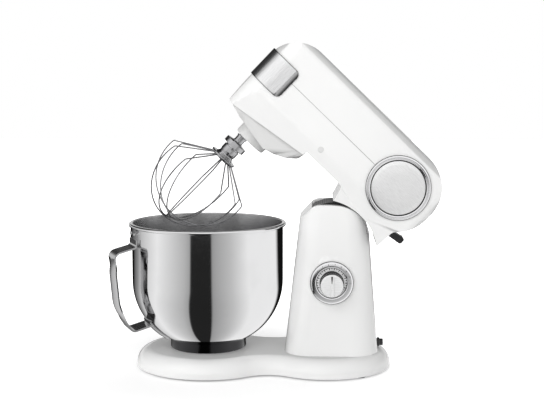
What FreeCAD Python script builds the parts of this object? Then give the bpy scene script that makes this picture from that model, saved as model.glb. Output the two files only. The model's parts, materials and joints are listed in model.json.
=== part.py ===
"""Tilt-head stand mixer, modelled in millimetres.

Origin: on the table, straight under the axis of the bowl.  +Z is up, the head's nose points to -X,
and the speed dial faces -Y.  The head is drawn level, over the bowl, and every piece of it is then
turned about the hinge pin by the sheet's tilt_open, so the model stands with its head up.
"""
import FreeCAD, Part
import math
import os
import re

from FreeCAD import Placement, Rotation, Vector
import Sketcher

# ------------------------------------------------------------------------------------------------
# Driving dimensions.  Each one is a cell of the sheet with its name as alias.
# ------------------------------------------------------------------------------------------------
SIZES = {
    # general
    "slip": 0.3,                    # running clearance between a moving piece and a fixed one
    "fit": 0.08,                    # radial clearance of a shaft in its bore
    "wall": 3.0,                    # the head's shells
    "screw_radius": 1.6, "screw_head": 3.2, "bolt_radius": 2.5, "bolt_head": 4.5,
    # hinge
    "tilt_open": 44, "pivot_x": 178, "pivot_z": 185, "pin_radius": 6,
    # base
    "foot_height": 3, "base_top": 27, "base_wall": 3.5, "front_lobe": 101, "rear_lobe": 92,
    "rear_lobe_x": 166, "waist_fillet": 48, "base_round": 20, "foot_radius": 9,
    "plate_thick": 2,
    # bowl and its seat
    "bowl_radius": 106.5, "bowl_wall": 1.2, "rim_z": 205, "rim_roll": 2.4, "rim_reach": 4.5,
    "bowl_low": 35, "bowl_flat": 45.2, "bowl_lean": 28.8, "bowl_curve": 92,
    "bowl_foot_radius": 53.5, "bowl_foot_wall": 3, "bowl_foot_low": 27.4, "seat_radius": 46,
    "seat_width": 8, "seat_height": 6, "seat_screw_circle": 42,
    # handle of the bowl
    "handle_turn": -156, "strap_width": 35, "strap_thick": 2.4, "handle_reach": 34,
    "bracket_low": 177, "bracket_high": 200, "handle_foot": 58.5, "tab_inner": 66,
    "rivet_radius": 2.6,
    # column
    "column_low_x": 174.7, "column_low_length": 129.4, "column_low_width": 120,
    "column_low_round": 36, "column_high_x": 178.2, "column_high_length": 89.4,
    "column_high_width": 105, "column_high_round": 28, "column_high_z": 240, "column_wall": 4,
    "column_lean": 4.4, "shoulder_radius": 49, "shoulder_x": 147, "shoulder_front_x": 131.5,
    "shoulder_front_z": 215, "shoulder_round": 20, "drum_radius": 51.5, "drum_width": 62,
    "drum_floor": 150, "bolt_spacing": 76, "post_height": 12,
    # dial
    "dial_x": 175, "dial_z": 129.5, "dial_face_y": 60, "bezel_radius": 29, "bezel_depth": 4,
    "scale_radius": 21.5, "knob_radius": 17, "knob_depth": 24, "knob_face": 15.3,
    # head
    "nose_x": -61.5, "head_rear": 246.5, "head_top": 355.7, "head_width": 125,
    "head_low_width": 101, "nose_low": 222.5, "nose_round": 50, "rear_round": 58,
    "edge_round": 16, "plan_round": 30, "seam_z": 299, "neck_z": 246.8, "neck_front": 137.5,
    "tail_x": 223, "skirt_radius": 76.8, "skirt_drop": 26, "plug_x": 77, "plug_z": 262.5,
    "plug_radius": 4, "medallion_x": 187.5, "medallion_z": 298, "medallion_radius": 43.5,
    "disc_radius": 37, "medallion_depth": 3.5,
    # chassis
    "chassis_z": 250, "chassis_thick": 5, "arm_inner": 32.5, "arm_thick": 5.5, "arm_width": 28,
    "arm_eye": 16,
    # planetary drive
    "hub_low": 198.5, "hub_top": 217.5, "hub_radius": 24, "eccentric": 11, "ring_teeth": 36,
    "planet_teeth": 14, "planet_module": 1, "ring_z": 222, "ring_thick": 8, "spindle_radius": 8,
    "spindle_top": 324, "gear_module": 1.5, "wheel_teeth": 46, "pinion_teeth": 14, "wheel_z": 306,
    "wheel_thick": 8, "face_teeth": 36, "bevel_teeth": 12, "face_width": 3, "backlash": 0.18,
    "bridge_z": 318, "bridge_thick": 6,
    # motor and belt
    "motor_x": 150, "motor_pulley_radius": 10, "lay_pulley_radius": 28, "belt_z": 334,
    "belt_width": 8, "belt_thick": 2, "core_radius": 24, "core_low": 270, "core_height": 40,
    "stator_radius": 37, "motor_shaft_radius": 5,
    # power outlet and its cap
    "outlet_z": 293, "outlet_radius": 20, "outlet_bore": 16, "outlet_shaft_radius": 6,
    "outlet_depth": 14, "outlet_length": 21, "socket_side": 6, "cap_low": 270.5, "cap_high": 316, "cap_rear": -12, "cap_thick": 1.5, "cap_corner": 8,
    # whisk
    "beater_radius": 5, "beater_low": 176, "cross_pin_z": 190.5, "whisk_top": 196.5,
    "whisk_neck_radius": 7, "ear_disc_radius": 16.6, "ear_disc_z": 177, "ear_disc_thick": 7.5,
    "whisk_body_radius": 12.2, "whisk_body_low": 167, "whisk_collar_z": 154,
    "whisk_collar_radius": 20.8, "wire_radius": 0.95, "wire_loops": 6, "wire_turn": 29,
    "wire_ring": 16, "kink_radius": 66.5, "kink_z": 125.5, "kink_round": 4.5, "whisk_tip_z": 39,
    # release lever
    "lever_x": 212, "lever_z": 243.5, "lever_reach": 39, "lever_width": 22, "lever_thick": 9,
}

doc = FreeCAD.newDocument("stand_mixer")
sheet = doc.addObject("Spreadsheet::Sheet", "Sizes")
for row, (alias, value) in enumerate(SIZES.items(), start=1):
    sheet.set(f"A{row}", alias)
    sheet.set(f"B{row}", str(value))
    sheet.setAlias(f"B{row}", alias)
doc.recompute()

UP, BACK, SIDE = Rotation(), Rotation(Vector(0, 1, 0), 90), Rotation(Vector(1, 0, 0), -90)
TURN = {"Z": UP, "X": BACK, "Y": SIDE, "-Y": Rotation(Vector(1, 0, 0), 90),
        "-X": Rotation(Vector(0, 1, 0), -90)}
nodes = {}


# ------------------------------------------------------------------------------------------------
# Helpers
# ------------------------------------------------------------------------------------------------
def bound(text):
    """The expression with every known alias written as a reference to the sheet."""
    return re.sub(r"[a-z][a-z_]*", lambda word: "Sizes." + word[0] if word[0] in SIZES else word[0],
                  str(text))


def size(text):
    """The value of an expression of aliases."""
    return float(sheet.evalExpression(bound(text)))


def bind(item, **properties):
    for name, text in properties.items():
        item.setExpression(name, bound(text))
    return item


def place(item, at=("0", "0", "0"), axis="Z", turn=0):
    """Put an item at a point bound to the sheet, with its own Z along the named axis."""
    spin = Rotation(Vector(0, 0, 1), turn)
    item.Placement = Placement(Vector(*[size(text) for text in at]), spin.multiply(TURN[axis]))
    for letter, text in zip("xyz", at):
        item.setExpression(f".Placement.Base.{letter}", bound(text))
    return item


def cylinder(name, radius, length, at=("0", "0", "0"), axis="Z"):
    item = bind(doc.addObject("Part::Cylinder", name), Radius=radius, Height=length)
    return place(item, at, axis)


def cone(name, low, high, length, at=("0", "0", "0"), axis="Z"):
    item = bind(doc.addObject("Part::Cone", name), Radius1=low, Radius2=high, Height=length)
    return place(item, at, axis)


def box(name, x_range, y_range, z_range):
    """A block between two places along each axis."""
    item = doc.addObject("Part::Box", name)
    ranges = (x_range, y_range, z_range)
    for side, (low, high) in zip(("Length", "Width", "Height"), ranges):
        item.setExpression(side, bound(f"({high}) - ({low})"))
    return place(item, [low for low, high in ranges])


def slab(name, half_width, x_range, z_range):
    """A block that reaches as far to each side of the middle plane."""
    return box(name, x_range, (f"-({half_width})", half_width), z_range)


def cut(name, base, *tools):
    item = doc.addObject("Part::Cut", name)
    item.Base = base
    item.Tool = tools[0] if len(tools) == 1 else fuse(name + "_tools", *tools)
    return item


def fuse(name, *shapes):
    item = doc.addObject("Part::MultiFuse", name)
    item.Shapes = list(shapes)
    return item


def common(name, *shapes):
    item = doc.addObject("Part::MultiCommon", name)
    item.Shapes = list(shapes)
    return item


def group(name, *shapes):
    """Separate solids kept together, such as a set of screws."""
    item = doc.addObject("Part::Compound", name)
    item.Links = list(shapes)
    return item


def tube(name, outer, inner, length, at=("0", "0", "0"), axis="Z"):
    return cut(name, cylinder(name + "_outer", outer, length, at, axis),
               cylinder(name + "_bore", inner, length, at, axis))


def feature(name, shape):
    item = doc.addObject("Part::Feature", name)
    item.Shape = shape
    return item


def outline(sketch, corners):
    """Draw a closed chain of lines through corners (x, y) or (x, y, rounding), fully bound."""
    points = [Vector(size(corner[0]), size(corner[1]), 0) for corner in corners]
    radii = [size(corner[2]) if len(corner) > 2 else 0 for corner in corners]
    count = len(corners)
    enter, leave, arcs = [], [], []
    for index, (point, radius) in enumerate(zip(points, radii)):
        back = (points[index - 1] - point).normalize()
        ahead = (points[(index + 1) % count] - point).normalize()
        reach = radius / math.tan(back.getAngle(ahead) / 2)
        enter.append(point + back * reach)
        leave.append(point + ahead * reach)
        arcs.append(None)
        if radius:
            centre = point + (back + ahead).normalize() * math.hypot(reach, radius)
            turn = (enter[-1] - centre).cross(leave[-1] - centre).z
            first, last = (enter[-1], leave[-1]) if turn > 0 else (leave[-1], enter[-1])
            angles = [math.atan2(end.y - centre.y, end.x - centre.x) for end in (first, last)]
            circle = Part.Circle(centre, Vector(0, 0, 1), radius)
            arcs[-1] = (sketch.addGeometry(Part.ArcOfCircle(circle, *angles), False), turn > 0)
    lines = [sketch.addGeometry(Part.LineSegment(leave[index], enter[(index + 1) % count]), False)
             for index in range(count)]
    for index, corner in enumerate(corners):
        before, after = lines[index - 1], lines[index]
        if arcs[index] is None:
            sketch.addConstraint(Sketcher.Constraint("Coincident", before, 2, after, 1))
            anchor = (after, 1)
        else:
            arc, forward = arcs[index]
            start, end = (1, 2) if forward else (2, 1)
            mark = sketch.addGeometry(Part.Point(points[index]), True)
            anchor = (mark, 1)
            for line in (before, after):
                sketch.addConstraint(Sketcher.Constraint("PointOnObject", mark, 1, line))
            sketch.addConstraint(Sketcher.Constraint("Tangent", before, 2, arc, start))
            sketch.addConstraint(Sketcher.Constraint("Tangent", arc, end, after, 1))
            number = sketch.addConstraint(Sketcher.Constraint("Radius", arc, radii[index]))
            sketch.setExpression(f"Constraints[{number}]", bound(corner[2]))
        for kind, text, value in (("DistanceX", corner[0], points[index].x),
                                  ("DistanceY", corner[1], points[index].y)):
            number = sketch.addConstraint(Sketcher.Constraint(kind, -1, 1, *anchor, value))
            sketch.setExpression(f"Constraints[{number}]", bound(text))


def sketched_body(name, plane, corners, offset="0"):
    """A Body with one bound sketch on an origin plane, moved along that plane's normal."""
    body = doc.addObject("PartDesign::Body", name)
    sketch = body.newObject("Sketcher::SketchObject", name + "_outline")
    support = [item for item in body.Origin.OriginFeatures if item.Role == plane][0]
    sketch.AttachmentSupport = [(support, "")]
    sketch.MapMode = "FlatFace"
    sketch.setExpression("AttachmentOffset.Base.z", bound(offset))
    outline(sketch, corners)
    return body, sketch


def padded(name, plane, corners, length, offset="0", both_ways=False):
    body, sketch = sketched_body(name, plane, corners, offset)
    pad = body.newObject("PartDesign::Pad", name + "_pad")
    pad.Profile = sketch
    pad.SideType = "Symmetric" if both_ways else "One side"
    bind(pad, Length=length)
    body.Tip = pad
    return body


def turned(name, corners, at=("0", "0", "0"), axis="Z"):
    """A Body turned about its own Z from corners (radius, height)."""
    body, sketch = sketched_body(name, "XZ_Plane", corners)
    spun = body.newObject("PartDesign::Revolution", name + "_spun")
    spun.Profile = sketch
    spun.ReferenceAxis = (sketch, ["V_Axis"])
    spun.Angle = 360
    body.Tip = spun
    return place(body, at, axis)


def mirrored(*corners):
    """The corners given for one side, and the same ones on the other side in reverse."""
    other = [(f"-({corner[0]})", *corner[1:]) for corner in reversed(corners)]
    return list(corners) + other


def stadium(first, second, distance):
    """A face round two circles a distance apart along X, with their outer tangents."""
    lean = math.asin((first - second) / distance)
    side = Vector(math.sin(lean), math.cos(lean), 0)
    centre = Vector(distance, 0, 0)
    flip = Vector(side.x, -side.y, 0)
    edges = [Part.LineSegment(side * first, centre + side * second).toShape(),
             Part.Arc(centre + side * second, centre + Vector(second, 0, 0),
                      centre + flip * second).toShape(),
             Part.LineSegment(centre + flip * second, flip * first).toShape(),
             Part.Arc(flip * first, Vector(-first, 0, 0), side * first).toShape()]
    return Part.Face(Part.Wire(edges))


def tooth_outline(teeth, module, inner, outer, play):
    """Points round a wheel whose teeth have involute flanks, less half the play on each flank."""
    pitch = teeth * module / 2
    base = pitch * math.cos(math.radians(20))
    involute = lambda radius: math.tan(math.acos(base / radius)) - math.acos(base / radius)
    points = []
    steps = [inner, max(base, inner + 0.05), pitch, (pitch + outer) / 2, outer]
    for tooth in range(teeth):
        middle = 2 * math.pi * tooth / teeth
        halves = [math.pi / (2 * teeth) - play / (2 * pitch) + involute(pitch)
                  - involute(max(radius, base)) for radius in steps]
        flank = list(zip(steps, halves))
        points += [Vector(radius * math.cos(middle - half), radius * math.sin(middle - half), 0)
                   for radius, half in flank]
        points += [Vector(radius * math.cos(middle + half), radius * math.sin(middle + half), 0)
                   for radius, half in reversed(flank)]
    return Part.Face(Part.makePolygon(points + points[:1]))


def spur_wheel(teeth, module, thick, bore, play):
    pitch = teeth * module / 2
    wheel = tooth_outline(teeth, module, pitch - 1.2 * module, pitch + 0.9 * module, play)
    return wheel.extrude(Vector(0, 0, thick)).cut(Part.makeCylinder(bore, thick))


def moved(shape, at, axis="Z"):
    """A copy of a shape with its own Z along the named axis, standing at a point."""
    copy = shape.copy()
    stand = Placement(Vector(*[size(text) for text in at]), TURN[axis])
    copy.Placement = stand.multiply(shape.Placement)
    return copy


def node(label, item):
    """Take an item as a finished sub-part under the name that its file will have."""
    item.Label = label
    nodes[label] = item
    return item


def head_node(label, item):
    """A sub-part of the head: drawn level and turned about the hinge pin to the open place."""
    doc.recompute()
    hinge = Vector(size("pivot_x"), 0, size("pivot_z"))
    opened = Placement(Vector(), Rotation(Vector(0, 1, 0), size("tilt_open")), hinge)
    for letter in "xyz":
        item.setExpression(f".Placement.Base.{letter}", None)
    item.Placement = opened.multiply(item.Placement)
    return node(label, item)


# ------------------------------------------------------------------------------------------------
# Base
# ------------------------------------------------------------------------------------------------
def lobed_body(name, inset, low, high, rounding="0"):
    """A block whose plan is two round lobes joined by hollow waists, inset from the base's edge."""
    body = doc.addObject("PartDesign::Body", name)
    sketch = body.newObject("Sketcher::SketchObject", name + "_plan")
    plane = [item for item in body.Origin.OriginFeatures if item.Role == "XY_Plane"][0]
    sketch.AttachmentSupport = [(plane, "")]
    sketch.MapMode = "FlatFace"
    sketch.setExpression("AttachmentOffset.Base.z", bound(low))
    front_text, rear_text = f"front_lobe - ({inset})", f"rear_lobe - ({inset})"
    waist_text = f"waist_fillet + ({inset})"
    front, rear, waist = size(front_text), size(rear_text), size(waist_text)
    apart = size("rear_lobe_x")
    waist_x = ((front + waist) ** 2 - (rear + waist) ** 2 + apart ** 2) / (2 * apart)
    waist_y = math.sqrt((front + waist) ** 2 - waist_x ** 2)
    to_front = math.atan2(waist_y, waist_x)
    to_rear = math.atan2(waist_y, waist_x - apart)

    def arc(centre_x, centre_y, radius, first, last):
        circle = Part.Circle(Vector(centre_x, centre_y, 0), Vector(0, 0, 1), radius)
        return sketch.addGeometry(Part.ArcOfCircle(circle, first, last), False)

    lobe = arc(0, 0, front, to_front, 2 * math.pi - to_front)
    left = arc(waist_x, -waist_y, waist, math.pi - to_rear, math.pi - to_front)
    tail = arc(apart, 0, rear, -to_rear, to_rear)
    right = arc(waist_x, waist_y, waist, math.pi + to_front, math.pi + to_rear)
    sketch.addConstraint(Sketcher.Constraint("Coincident", lobe, 3, -1, 1))
    sketch.addConstraint(Sketcher.Constraint("PointOnObject", tail, 3, -1))
    joins = ((lobe, 2, left, 2), (left, 1, tail, 1), (tail, 2, right, 2), (right, 1, lobe, 1))
    for first, first_end, second, second_end in joins:
        sketch.addConstraint(Sketcher.Constraint("Tangent", first, first_end, second, second_end))
    number = sketch.addConstraint(Sketcher.Constraint("DistanceX", -1, 1, tail, 3, apart))
    sketch.setExpression(f"Constraints[{number}]", bound("rear_lobe_x"))
    for item, text in ((lobe, front_text), (tail, rear_text), (left, waist_text),
                       (right, waist_text)):
        number = sketch.addConstraint(Sketcher.Constraint("Radius", item, size(text)))
        sketch.setExpression(f"Constraints[{number}]", bound(text))
    pad = body.newObject("PartDesign::Pad", name + "_pad")
    pad.Profile = sketch
    bind(pad, Length=f"({high}) - ({low})")
    body.Tip = pad
    if size(rounding):
        doc.recompute()
        top = [f"Edge{number}" for number, edge in enumerate(pad.Shape.Edges, start=1)
               if edge.BoundBox.ZMin > size(high) - 0.01]
        fillet = body.newObject("PartDesign::Fillet", name + "_round")
        fillet.Base = (pad, top)
        bind(fillet, Radius=rounding)
        body.Tip = fillet
    return body


def column_plan(end, inset):
    """The corners of the column's section at its low or high end, inset from its outside."""
    half_x = f"(column_{end}_length / 2 - ({inset}))"
    half_y = f"(column_{end}_width / 2 - ({inset}))"
    rounding = f"column_{end}_round - ({inset})"
    return [(f"column_{end}_x {sign_x} {half_x}", f"{sign_y}{half_y}", rounding)
            for sign_x, sign_y in (("-", "-"), ("+", "-"), ("+", ""), ("-", ""))]


def rounded_column(name, inset, low_z):
    """The column's tapered form, inset from its outside, from low_z up past the shoulder."""
    body = doc.addObject("PartDesign::Body", name)
    sketches = []
    for end, level in (("low", low_z), ("high", "column_high_z")):
        sketch = body.newObject("Sketcher::SketchObject", f"{name}_{end}")
        plane = [item for item in body.Origin.OriginFeatures if item.Role == "XY_Plane"][0]
        sketch.AttachmentSupport = [(plane, "")]
        sketch.MapMode = "FlatFace"
        sketch.setExpression("AttachmentOffset.Base.z", bound(level))
        outline(sketch, column_plan(end, inset))
        sketches.append(sketch)
    loft = body.newObject("PartDesign::AdditiveLoft", name + "_loft")
    loft.Profile = sketches[0]
    loft.Sections = sketches[1:]
    loft.Ruled = True
    body.Tip = loft
    return body


def column_side(name, inset, low_z):
    """The column's outline from the side: a sloping front shoulder, then a round about the pin."""
    radius = f"(shoulder_radius - ({inset}))"
    top = f"pivot_z + {radius}"
    rear_top = f"pivot_x + slip + {radius} * tan(45 - column_lean / 2)"
    rear_low = f"{rear_top} + ({top} - ({low_z})) * tan(column_lean)"
    front = "column_low_x - column_low_length"
    return padded(name, "XZ_Plane", [
        (front, low_z), (front, f"shoulder_front_z - ({inset})"),
        (f"shoulder_front_x + ({inset}) / 3", f"shoulder_front_z - ({inset})"),
        ("shoulder_x + column_wall", top, f"shoulder_round - ({inset})"), (rear_top, top, radius),
        (rear_low, low_z)], "column_low_width * 1.5", both_ways=True)


COVER_SCREWS = ((-70, 0), (0, 72), (0, -72), (215, 48), (215, -48))
FEET = ((-72, 34), (-72, -34), (214, 62), (214, -62), (0, 0))
CAVITY_TOP = "base_top - base_wall"
PLATE_TOP = "foot_height + plate_thick"
SEAT_SCREW_ANGLES, SEAT_LUG_ANGLES = (30, 150, 270), (90, 210, 330)


def make_base():
    lobes = lobed_body("base_outside", "0", "foot_height", "base_top", "base_round")
    pad = padded("column_foot_pad", "XY_Plane", column_plan("low", "0"), "base_round / 2",
                 offset="base_top - base_round / 2")
    outside = fuse("base_with_pad", lobes, pad)
    hollow = lobed_body("base_hollow", "base_wall", "foot_height", CAVITY_TOP,
                        "base_round - base_wall")
    posts = [cylinder(f"cover_post_{number}", "5", f"{CAVITY_TOP} - ({PLATE_TOP}) + 1",
                      (str(x), str(y), PLATE_TOP)) for number, (x, y) in enumerate(COVER_SCREWS)]
    holes = [cylinder(f"cover_post_hole_{number}", "screw_radius", "12",
                      (str(x), str(y), PLATE_TOP)) for number, (x, y) in enumerate(COVER_SCREWS)]
    seat_holes = [cylinder(f"seat_hole_{angle}", "screw_radius", "20",
                           (*seat_screw_place(angle), "base_top - 10"))
                  for angle in SEAT_SCREW_ANGLES]
    bolt_holes = [cylinder(f"bolt_hole_{number}", "bolt_radius", "12", (x, y, "base_top - 9"))
                  for number, (x, y) in enumerate(column_bolt_places())]
    wire_hole = cylinder("base_wire_hole", "12", "12", ("column_low_x + 25", "0", "base_top - 9"))
    shell = fuse("base_shell", cut("base_skin", outside, hollow), *posts)
    node("base_casting", cut("base_casting_cut", shell, *holes, *seat_holes, *bolt_holes,
                             wire_hole))

    plate = lobed_body("plate_blank", "base_wall + slip", "foot_height", PLATE_TOP)
    plate_holes = [cylinder(f"plate_hole_{number}", "screw_radius", "4",
                            (str(x), str(y), "foot_height - 1"))
                   for number, (x, y) in enumerate(COVER_SCREWS)]
    node("base_plate", cut("base_plate_cut", plate, *plate_holes))
    node("base_plate_screws", group("base_plate_screw_set", *[
        fuse(f"cover_screw_{number}",
             cylinder(f"cover_screw_head_{number}", "screw_head", "screw_radius",
                      (str(x), str(y), "foot_height - screw_radius")),
             cylinder(f"cover_screw_shank_{number}", "screw_radius", "12",
                      (str(x), str(y), "foot_height - 0.1")))
        for number, (x, y) in enumerate(COVER_SCREWS)]))
    node("rubber_feet", group("rubber_foot_set", *[
        cone(f"rubber_foot_{number}", "foot_radius - 1", "foot_radius", "foot_height",
             (str(x), str(y), "0")) for number, (x, y) in enumerate(FEET)]))


def seat_screw_place(angle):
    return f"seat_screw_circle * cos({angle})", f"seat_screw_circle * sin({angle})"


def make_bowl_seat():
    """The raised ring that the bowl's foot drops over, with lugs that a turn of the bowl locks."""
    top = "base_top + seat_height"
    ring = turned("seat_blank", [("seat_radius - seat_width", "base_top"),
                                 ("seat_radius", "base_top"), ("seat_radius", top, "1"),
                                 ("seat_radius - seat_width", top, "1")])
    lugs = [wedge(f"seat_lug_{angle}", "seat_radius - 1", "seat_radius + 3.4", f"{top} - 2.2", "2",
                  angle, 24) for angle in SEAT_LUG_ANGLES]
    holes = [cylinder(f"seat_bore_{angle}", "screw_radius", "seat_height + 4",
                      (*seat_screw_place(angle), "base_top - 1")) for angle in SEAT_SCREW_ANGLES]
    node("bowl_seat_ring", cut("bowl_seat_cut", fuse("seat_fused", ring, *lugs), *holes))
    node("bowl_seat_screws", group("bowl_seat_screw_set", *[
        fuse(f"seat_screw_{angle}",
             cylinder(f"seat_screw_head_{angle}", "screw_head", "1.2",
                      (*seat_screw_place(angle), top)),
             cylinder(f"seat_screw_shank_{angle}", "screw_radius", "seat_height + 6.1",
                      (*seat_screw_place(angle), "base_top - 6")))
        for angle in SEAT_SCREW_ANGLES]))


def wedge(name, inner, outer, low, thick, middle, spread):
    """A piece of a ring about the bowl's axis, spread degrees wide."""
    pieces = []
    for suffix, radius in (("outer", outer), ("inner", inner)):
        item = bind(doc.addObject("Part::Cylinder", f"{name}_{suffix}"), Radius=radius,
                    Height=thick)
        item.Angle = spread
        place(item, ("0", "0", low), turn=middle - spread / 2)
        pieces.append(item)
    return cut(name, *pieces)


# ------------------------------------------------------------------------------------------------
# Column, hinge and dial
# ------------------------------------------------------------------------------------------------
def column_bolt_places():
    return [(f"column_low_x {x} bolt_spacing / 2", f"{y}bolt_spacing / 2")
            for x in "-+" for y in ("-", "")]


def make_column():
    outside = common("column_outside", rounded_column("column_form", "0", "base_top"),
                     column_side("column_side", "0", "base_top"))
    hollow = common("column_hollow", rounded_column("column_inner_form", "column_wall",
                                                    "base_top - 1"),
                    column_side("column_inner_side", "column_wall", "base_top - 1"))
    shelf = slab("column_shelf", "column_low_width", ("column_low_x - 80", "column_low_x + 80"),
                 ("drum_floor - 4", "drum_floor"))
    eyes = cut("pin_bosses", cylinder("pin_boss_outer", "12", "column_low_width",
                                      ("pivot_x", "-column_low_width / 2", "pivot_z"), "Y"),
               slab("pin_boss_gap", "arm_inner + arm_thick + 2 * slip",
                    ("pivot_x - 20", "pivot_x + 20"), ("pivot_z - 20", "pivot_z + 20")))
    pad = cylinder("dial_pad", "bezel_radius + 1.5", "8", ("dial_x", "-dial_face_y + 2", "dial_z"),
                   "Y")
    feet = [cylinder(f"column_post_{number}", "6", "post_height", (x, y, "base_top"))
            for number, (x, y) in enumerate(column_bolt_places())]
    webs = [box(f"column_web_{number}", (f"{x} - 2", f"{x} + 2"),
                ((y, f"{y} + 22") if not y.startswith("-") else (f"{y} - 22", y)),
                ("base_top", "base_top + post_height")) for number, (x, y)
            in enumerate(column_bolt_places())]
    inner = common("column_inside_parts", outside, fuse("column_ribs", shelf, eyes, *feet, *webs))
    shell = fuse("column_body", cut("column_skin", outside, hollow), inner, pad)
    opening = slab("column_opening", "drum_width / 2 + 9", ("shoulder_x", "column_low_x + 100"),
                   ("pivot_z + 19", "column_high_z + 5"))
    arm_slots = [box(f"arm_slot_{side}", ("pivot_x", "pivot_x + 100"), (low, f"{low} + arm_thick + 4"),
                     ("pivot_z + 9", "column_high_z"))
                 for side, low in (("near", "-arm_inner - arm_thick - 2"), ("far", "arm_inner - 2"))]
    pin_bore = cylinder("column_pin_bore", "pin_radius", "2 * (arm_inner + 11.5)",
                        ("pivot_x", "-arm_inner - 11.5", "pivot_z"), "Y")
    dial_bore = cylinder("dial_bore", "5.5", "20", ("dial_x", "-dial_face_y - 5", "dial_z"), "Y")
    gland_bore = cylinder("gland_bore", "5", "20", ("column_low_x + column_low_length / 2 - 12",
                                                   "0", "base_top + 7"), "X")
    shelf_hole = cylinder("shelf_wire_hole", "9", "12", ("column_low_x + 25", "0",
                                                        "drum_floor - 8"))
    bolt_bores = [cylinder(f"post_bore_{number}", "bolt_radius", "post_height + 2",
                           (x, y, "base_top - 1"))
                  for number, (x, y) in enumerate(column_bolt_places())]
    node("column_shell", cut("column_cut", shell, opening, *arm_slots, pin_bore, dial_bore,
                             gland_bore, shelf_hole, *bolt_bores))
    node("column_bolts", group("column_bolt_set", *[
        fuse(f"column_bolt_{number}",
             cylinder(f"column_bolt_head_{number}", "bolt_head", "4",
                      (x, y, "base_top + post_height")),
             cylinder(f"column_bolt_shank_{number}", "bolt_radius", "post_height + 8.1",
                      (x, y, "base_top - 8")))
        for number, (x, y) in enumerate(column_bolt_places())]))

    barrel = cylinder("drum_barrel", "drum_radius", "drum_width",
                      ("pivot_x", "-drum_width / 2", "pivot_z"), "Y")
    block = slab("drum_limits", "drum_width", ("shoulder_x + slip", "pivot_x + 38"),
                 ("drum_floor", "column_high_z"))
    bore = cylinder("drum_bore", "pin_radius", "drum_width + 2",
                    ("pivot_x", "-drum_width / 2 - 1", "pivot_z"), "Y")
    core = cylinder("drum_core", "drum_radius - 18", "drum_width - 16",
                    ("pivot_x", "-drum_width / 2 + 8", "pivot_z"), "Y")
    rib = cylinder("drum_rib", "pin_radius + 6", "drum_width",
                   ("pivot_x", "-drum_width / 2", "pivot_z"), "Y")
    node("hinge_drum", cut("drum_cut", common("drum_blank", barrel, block),
                           cut("drum_hollow", core, rib), bore))
    node("hinge_pin", cylinder("hinge_pin_rod", "pin_radius", "2 * (arm_inner + 11.3)",
                               ("pivot_x", "-arm_inner - 11.3", "pivot_z"), "Y"))


def make_dial():
    face = "-dial_face_y"
    node("dial_bezel", place(turned("bezel_body", [
        ("scale_radius", "0"), ("bezel_radius", "0"), ("bezel_radius", "bezel_depth", "1.6"),
        ("scale_radius + 1", "bezel_depth", "0.8"), ("scale_radius", "2")]),
        ("dial_x", face, "dial_z"), "-Y"))
    node("dial_scale", tube("dial_scale_disc", "scale_radius - 0.1", "5", "1.5",
                            ("dial_x", face, "dial_z"), "-Y"))
    skirt = turned("knob_skirt", [
        ("0", "0"), ("knob_radius", "0"), ("knob_radius", "5", "1"), ("knob_radius - 3", "8"),
        ("knob_face + 0.8", "knob_depth - 1.5", "0.8"), ("0", "knob_depth - 1.5")])
    node("dial_knob", cut("knob_cut", place(skirt, ("dial_x", f"{face} - 1.5 - slip", "dial_z"),
                                            "-Y"),
                          cylinder("knob_bore", "3", "12", ("dial_x", f"{face} - 13", "dial_z"),
                                   "Y")))
    front = f"{face} - slip - knob_depth"
    disc = cylinder("knob_face_disc", "knob_face", "1.5", ("dial_x", front, "dial_z"), "-Y")
    ridge = box("knob_ridge", ("dial_x - 2.6", "dial_x + 2.6"), (f"{front} - 5", f"{front} - 1"),
                ("dial_z - knob_face + 1", "dial_z + knob_face - 1"))
    node("dial_face", fuse("dial_face_fused", disc, ridge))
    node("dial_spindle", cylinder("dial_spindle_rod", "3", "31", ("dial_x", f"{face} - 13",
                                                                 "dial_z"), "Y"))
    back = f"{face} + 10"
    node("speed_switch", cut("speed_switch_cut", box(
        "speed_switch_box", ("dial_x - 16", "dial_x + 16"), (back, f"{back} + 18"),
        ("dial_z - 16", "dial_z + 16")),
        cylinder("speed_switch_bore", "3 + fit", "9", ("dial_x", f"{back} - 1", "dial_z"), "Y")))
    node("control_board", box("control_board_plate", ("dial_x - 32", "dial_x + 28"),
                              (f"{back} + 18", f"{back} + 19.6"),
                              ("dial_z - 45", "dial_z + 15")))
    rear = "column_low_x + column_low_length / 2"
    gland = turned("gland_body", [("3.4", "0"), ("5", "0"), ("5", "7"), ("6.5", "7", "0.5"),
                                  ("6.5", "10", "1"), ("4.8", "10"), ("4.8", "15", "1"),
                                  ("3.4", "15")])
    node("cord_inlet", place(gland, (f"{rear} - 6", "0", "base_top + 7"), "X"))


# ------------------------------------------------------------------------------------------------
# Head shells
# ------------------------------------------------------------------------------------------------
FLOOR = "neck_z + wall"


def head_section(name, inset):
    """The head's outline seen along its length."""
    half, low = f"(head_width / 2 - ({inset}))", f"(head_low_width / 2 - ({inset}))"
    return padded(name, "YZ_Plane", mirrored(
        (low, "nose_low - 30"), (half, "cap_low - 8", "50"),
        (half, f"head_top - ({inset})", f"edge_round - ({inset})")),
        "head_rear - nose_x + 40", offset="nose_x - 20")


def head_plan(name, inset):
    """The head's outline seen from above."""
    half = f"(head_width / 2 - ({inset}))"
    nose, rear = f"nose_x + ({inset})", f"head_rear - ({inset})"
    nose_round, rear_round = f"plan_round - ({inset})", f"edge_round - ({inset})"
    return padded(name, "XY_Plane", [
        (nose, f"-{half}", nose_round), (rear, f"-{half}", rear_round), (rear, half, rear_round),
        (nose, half, nose_round)], "head_top + 10")


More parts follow.
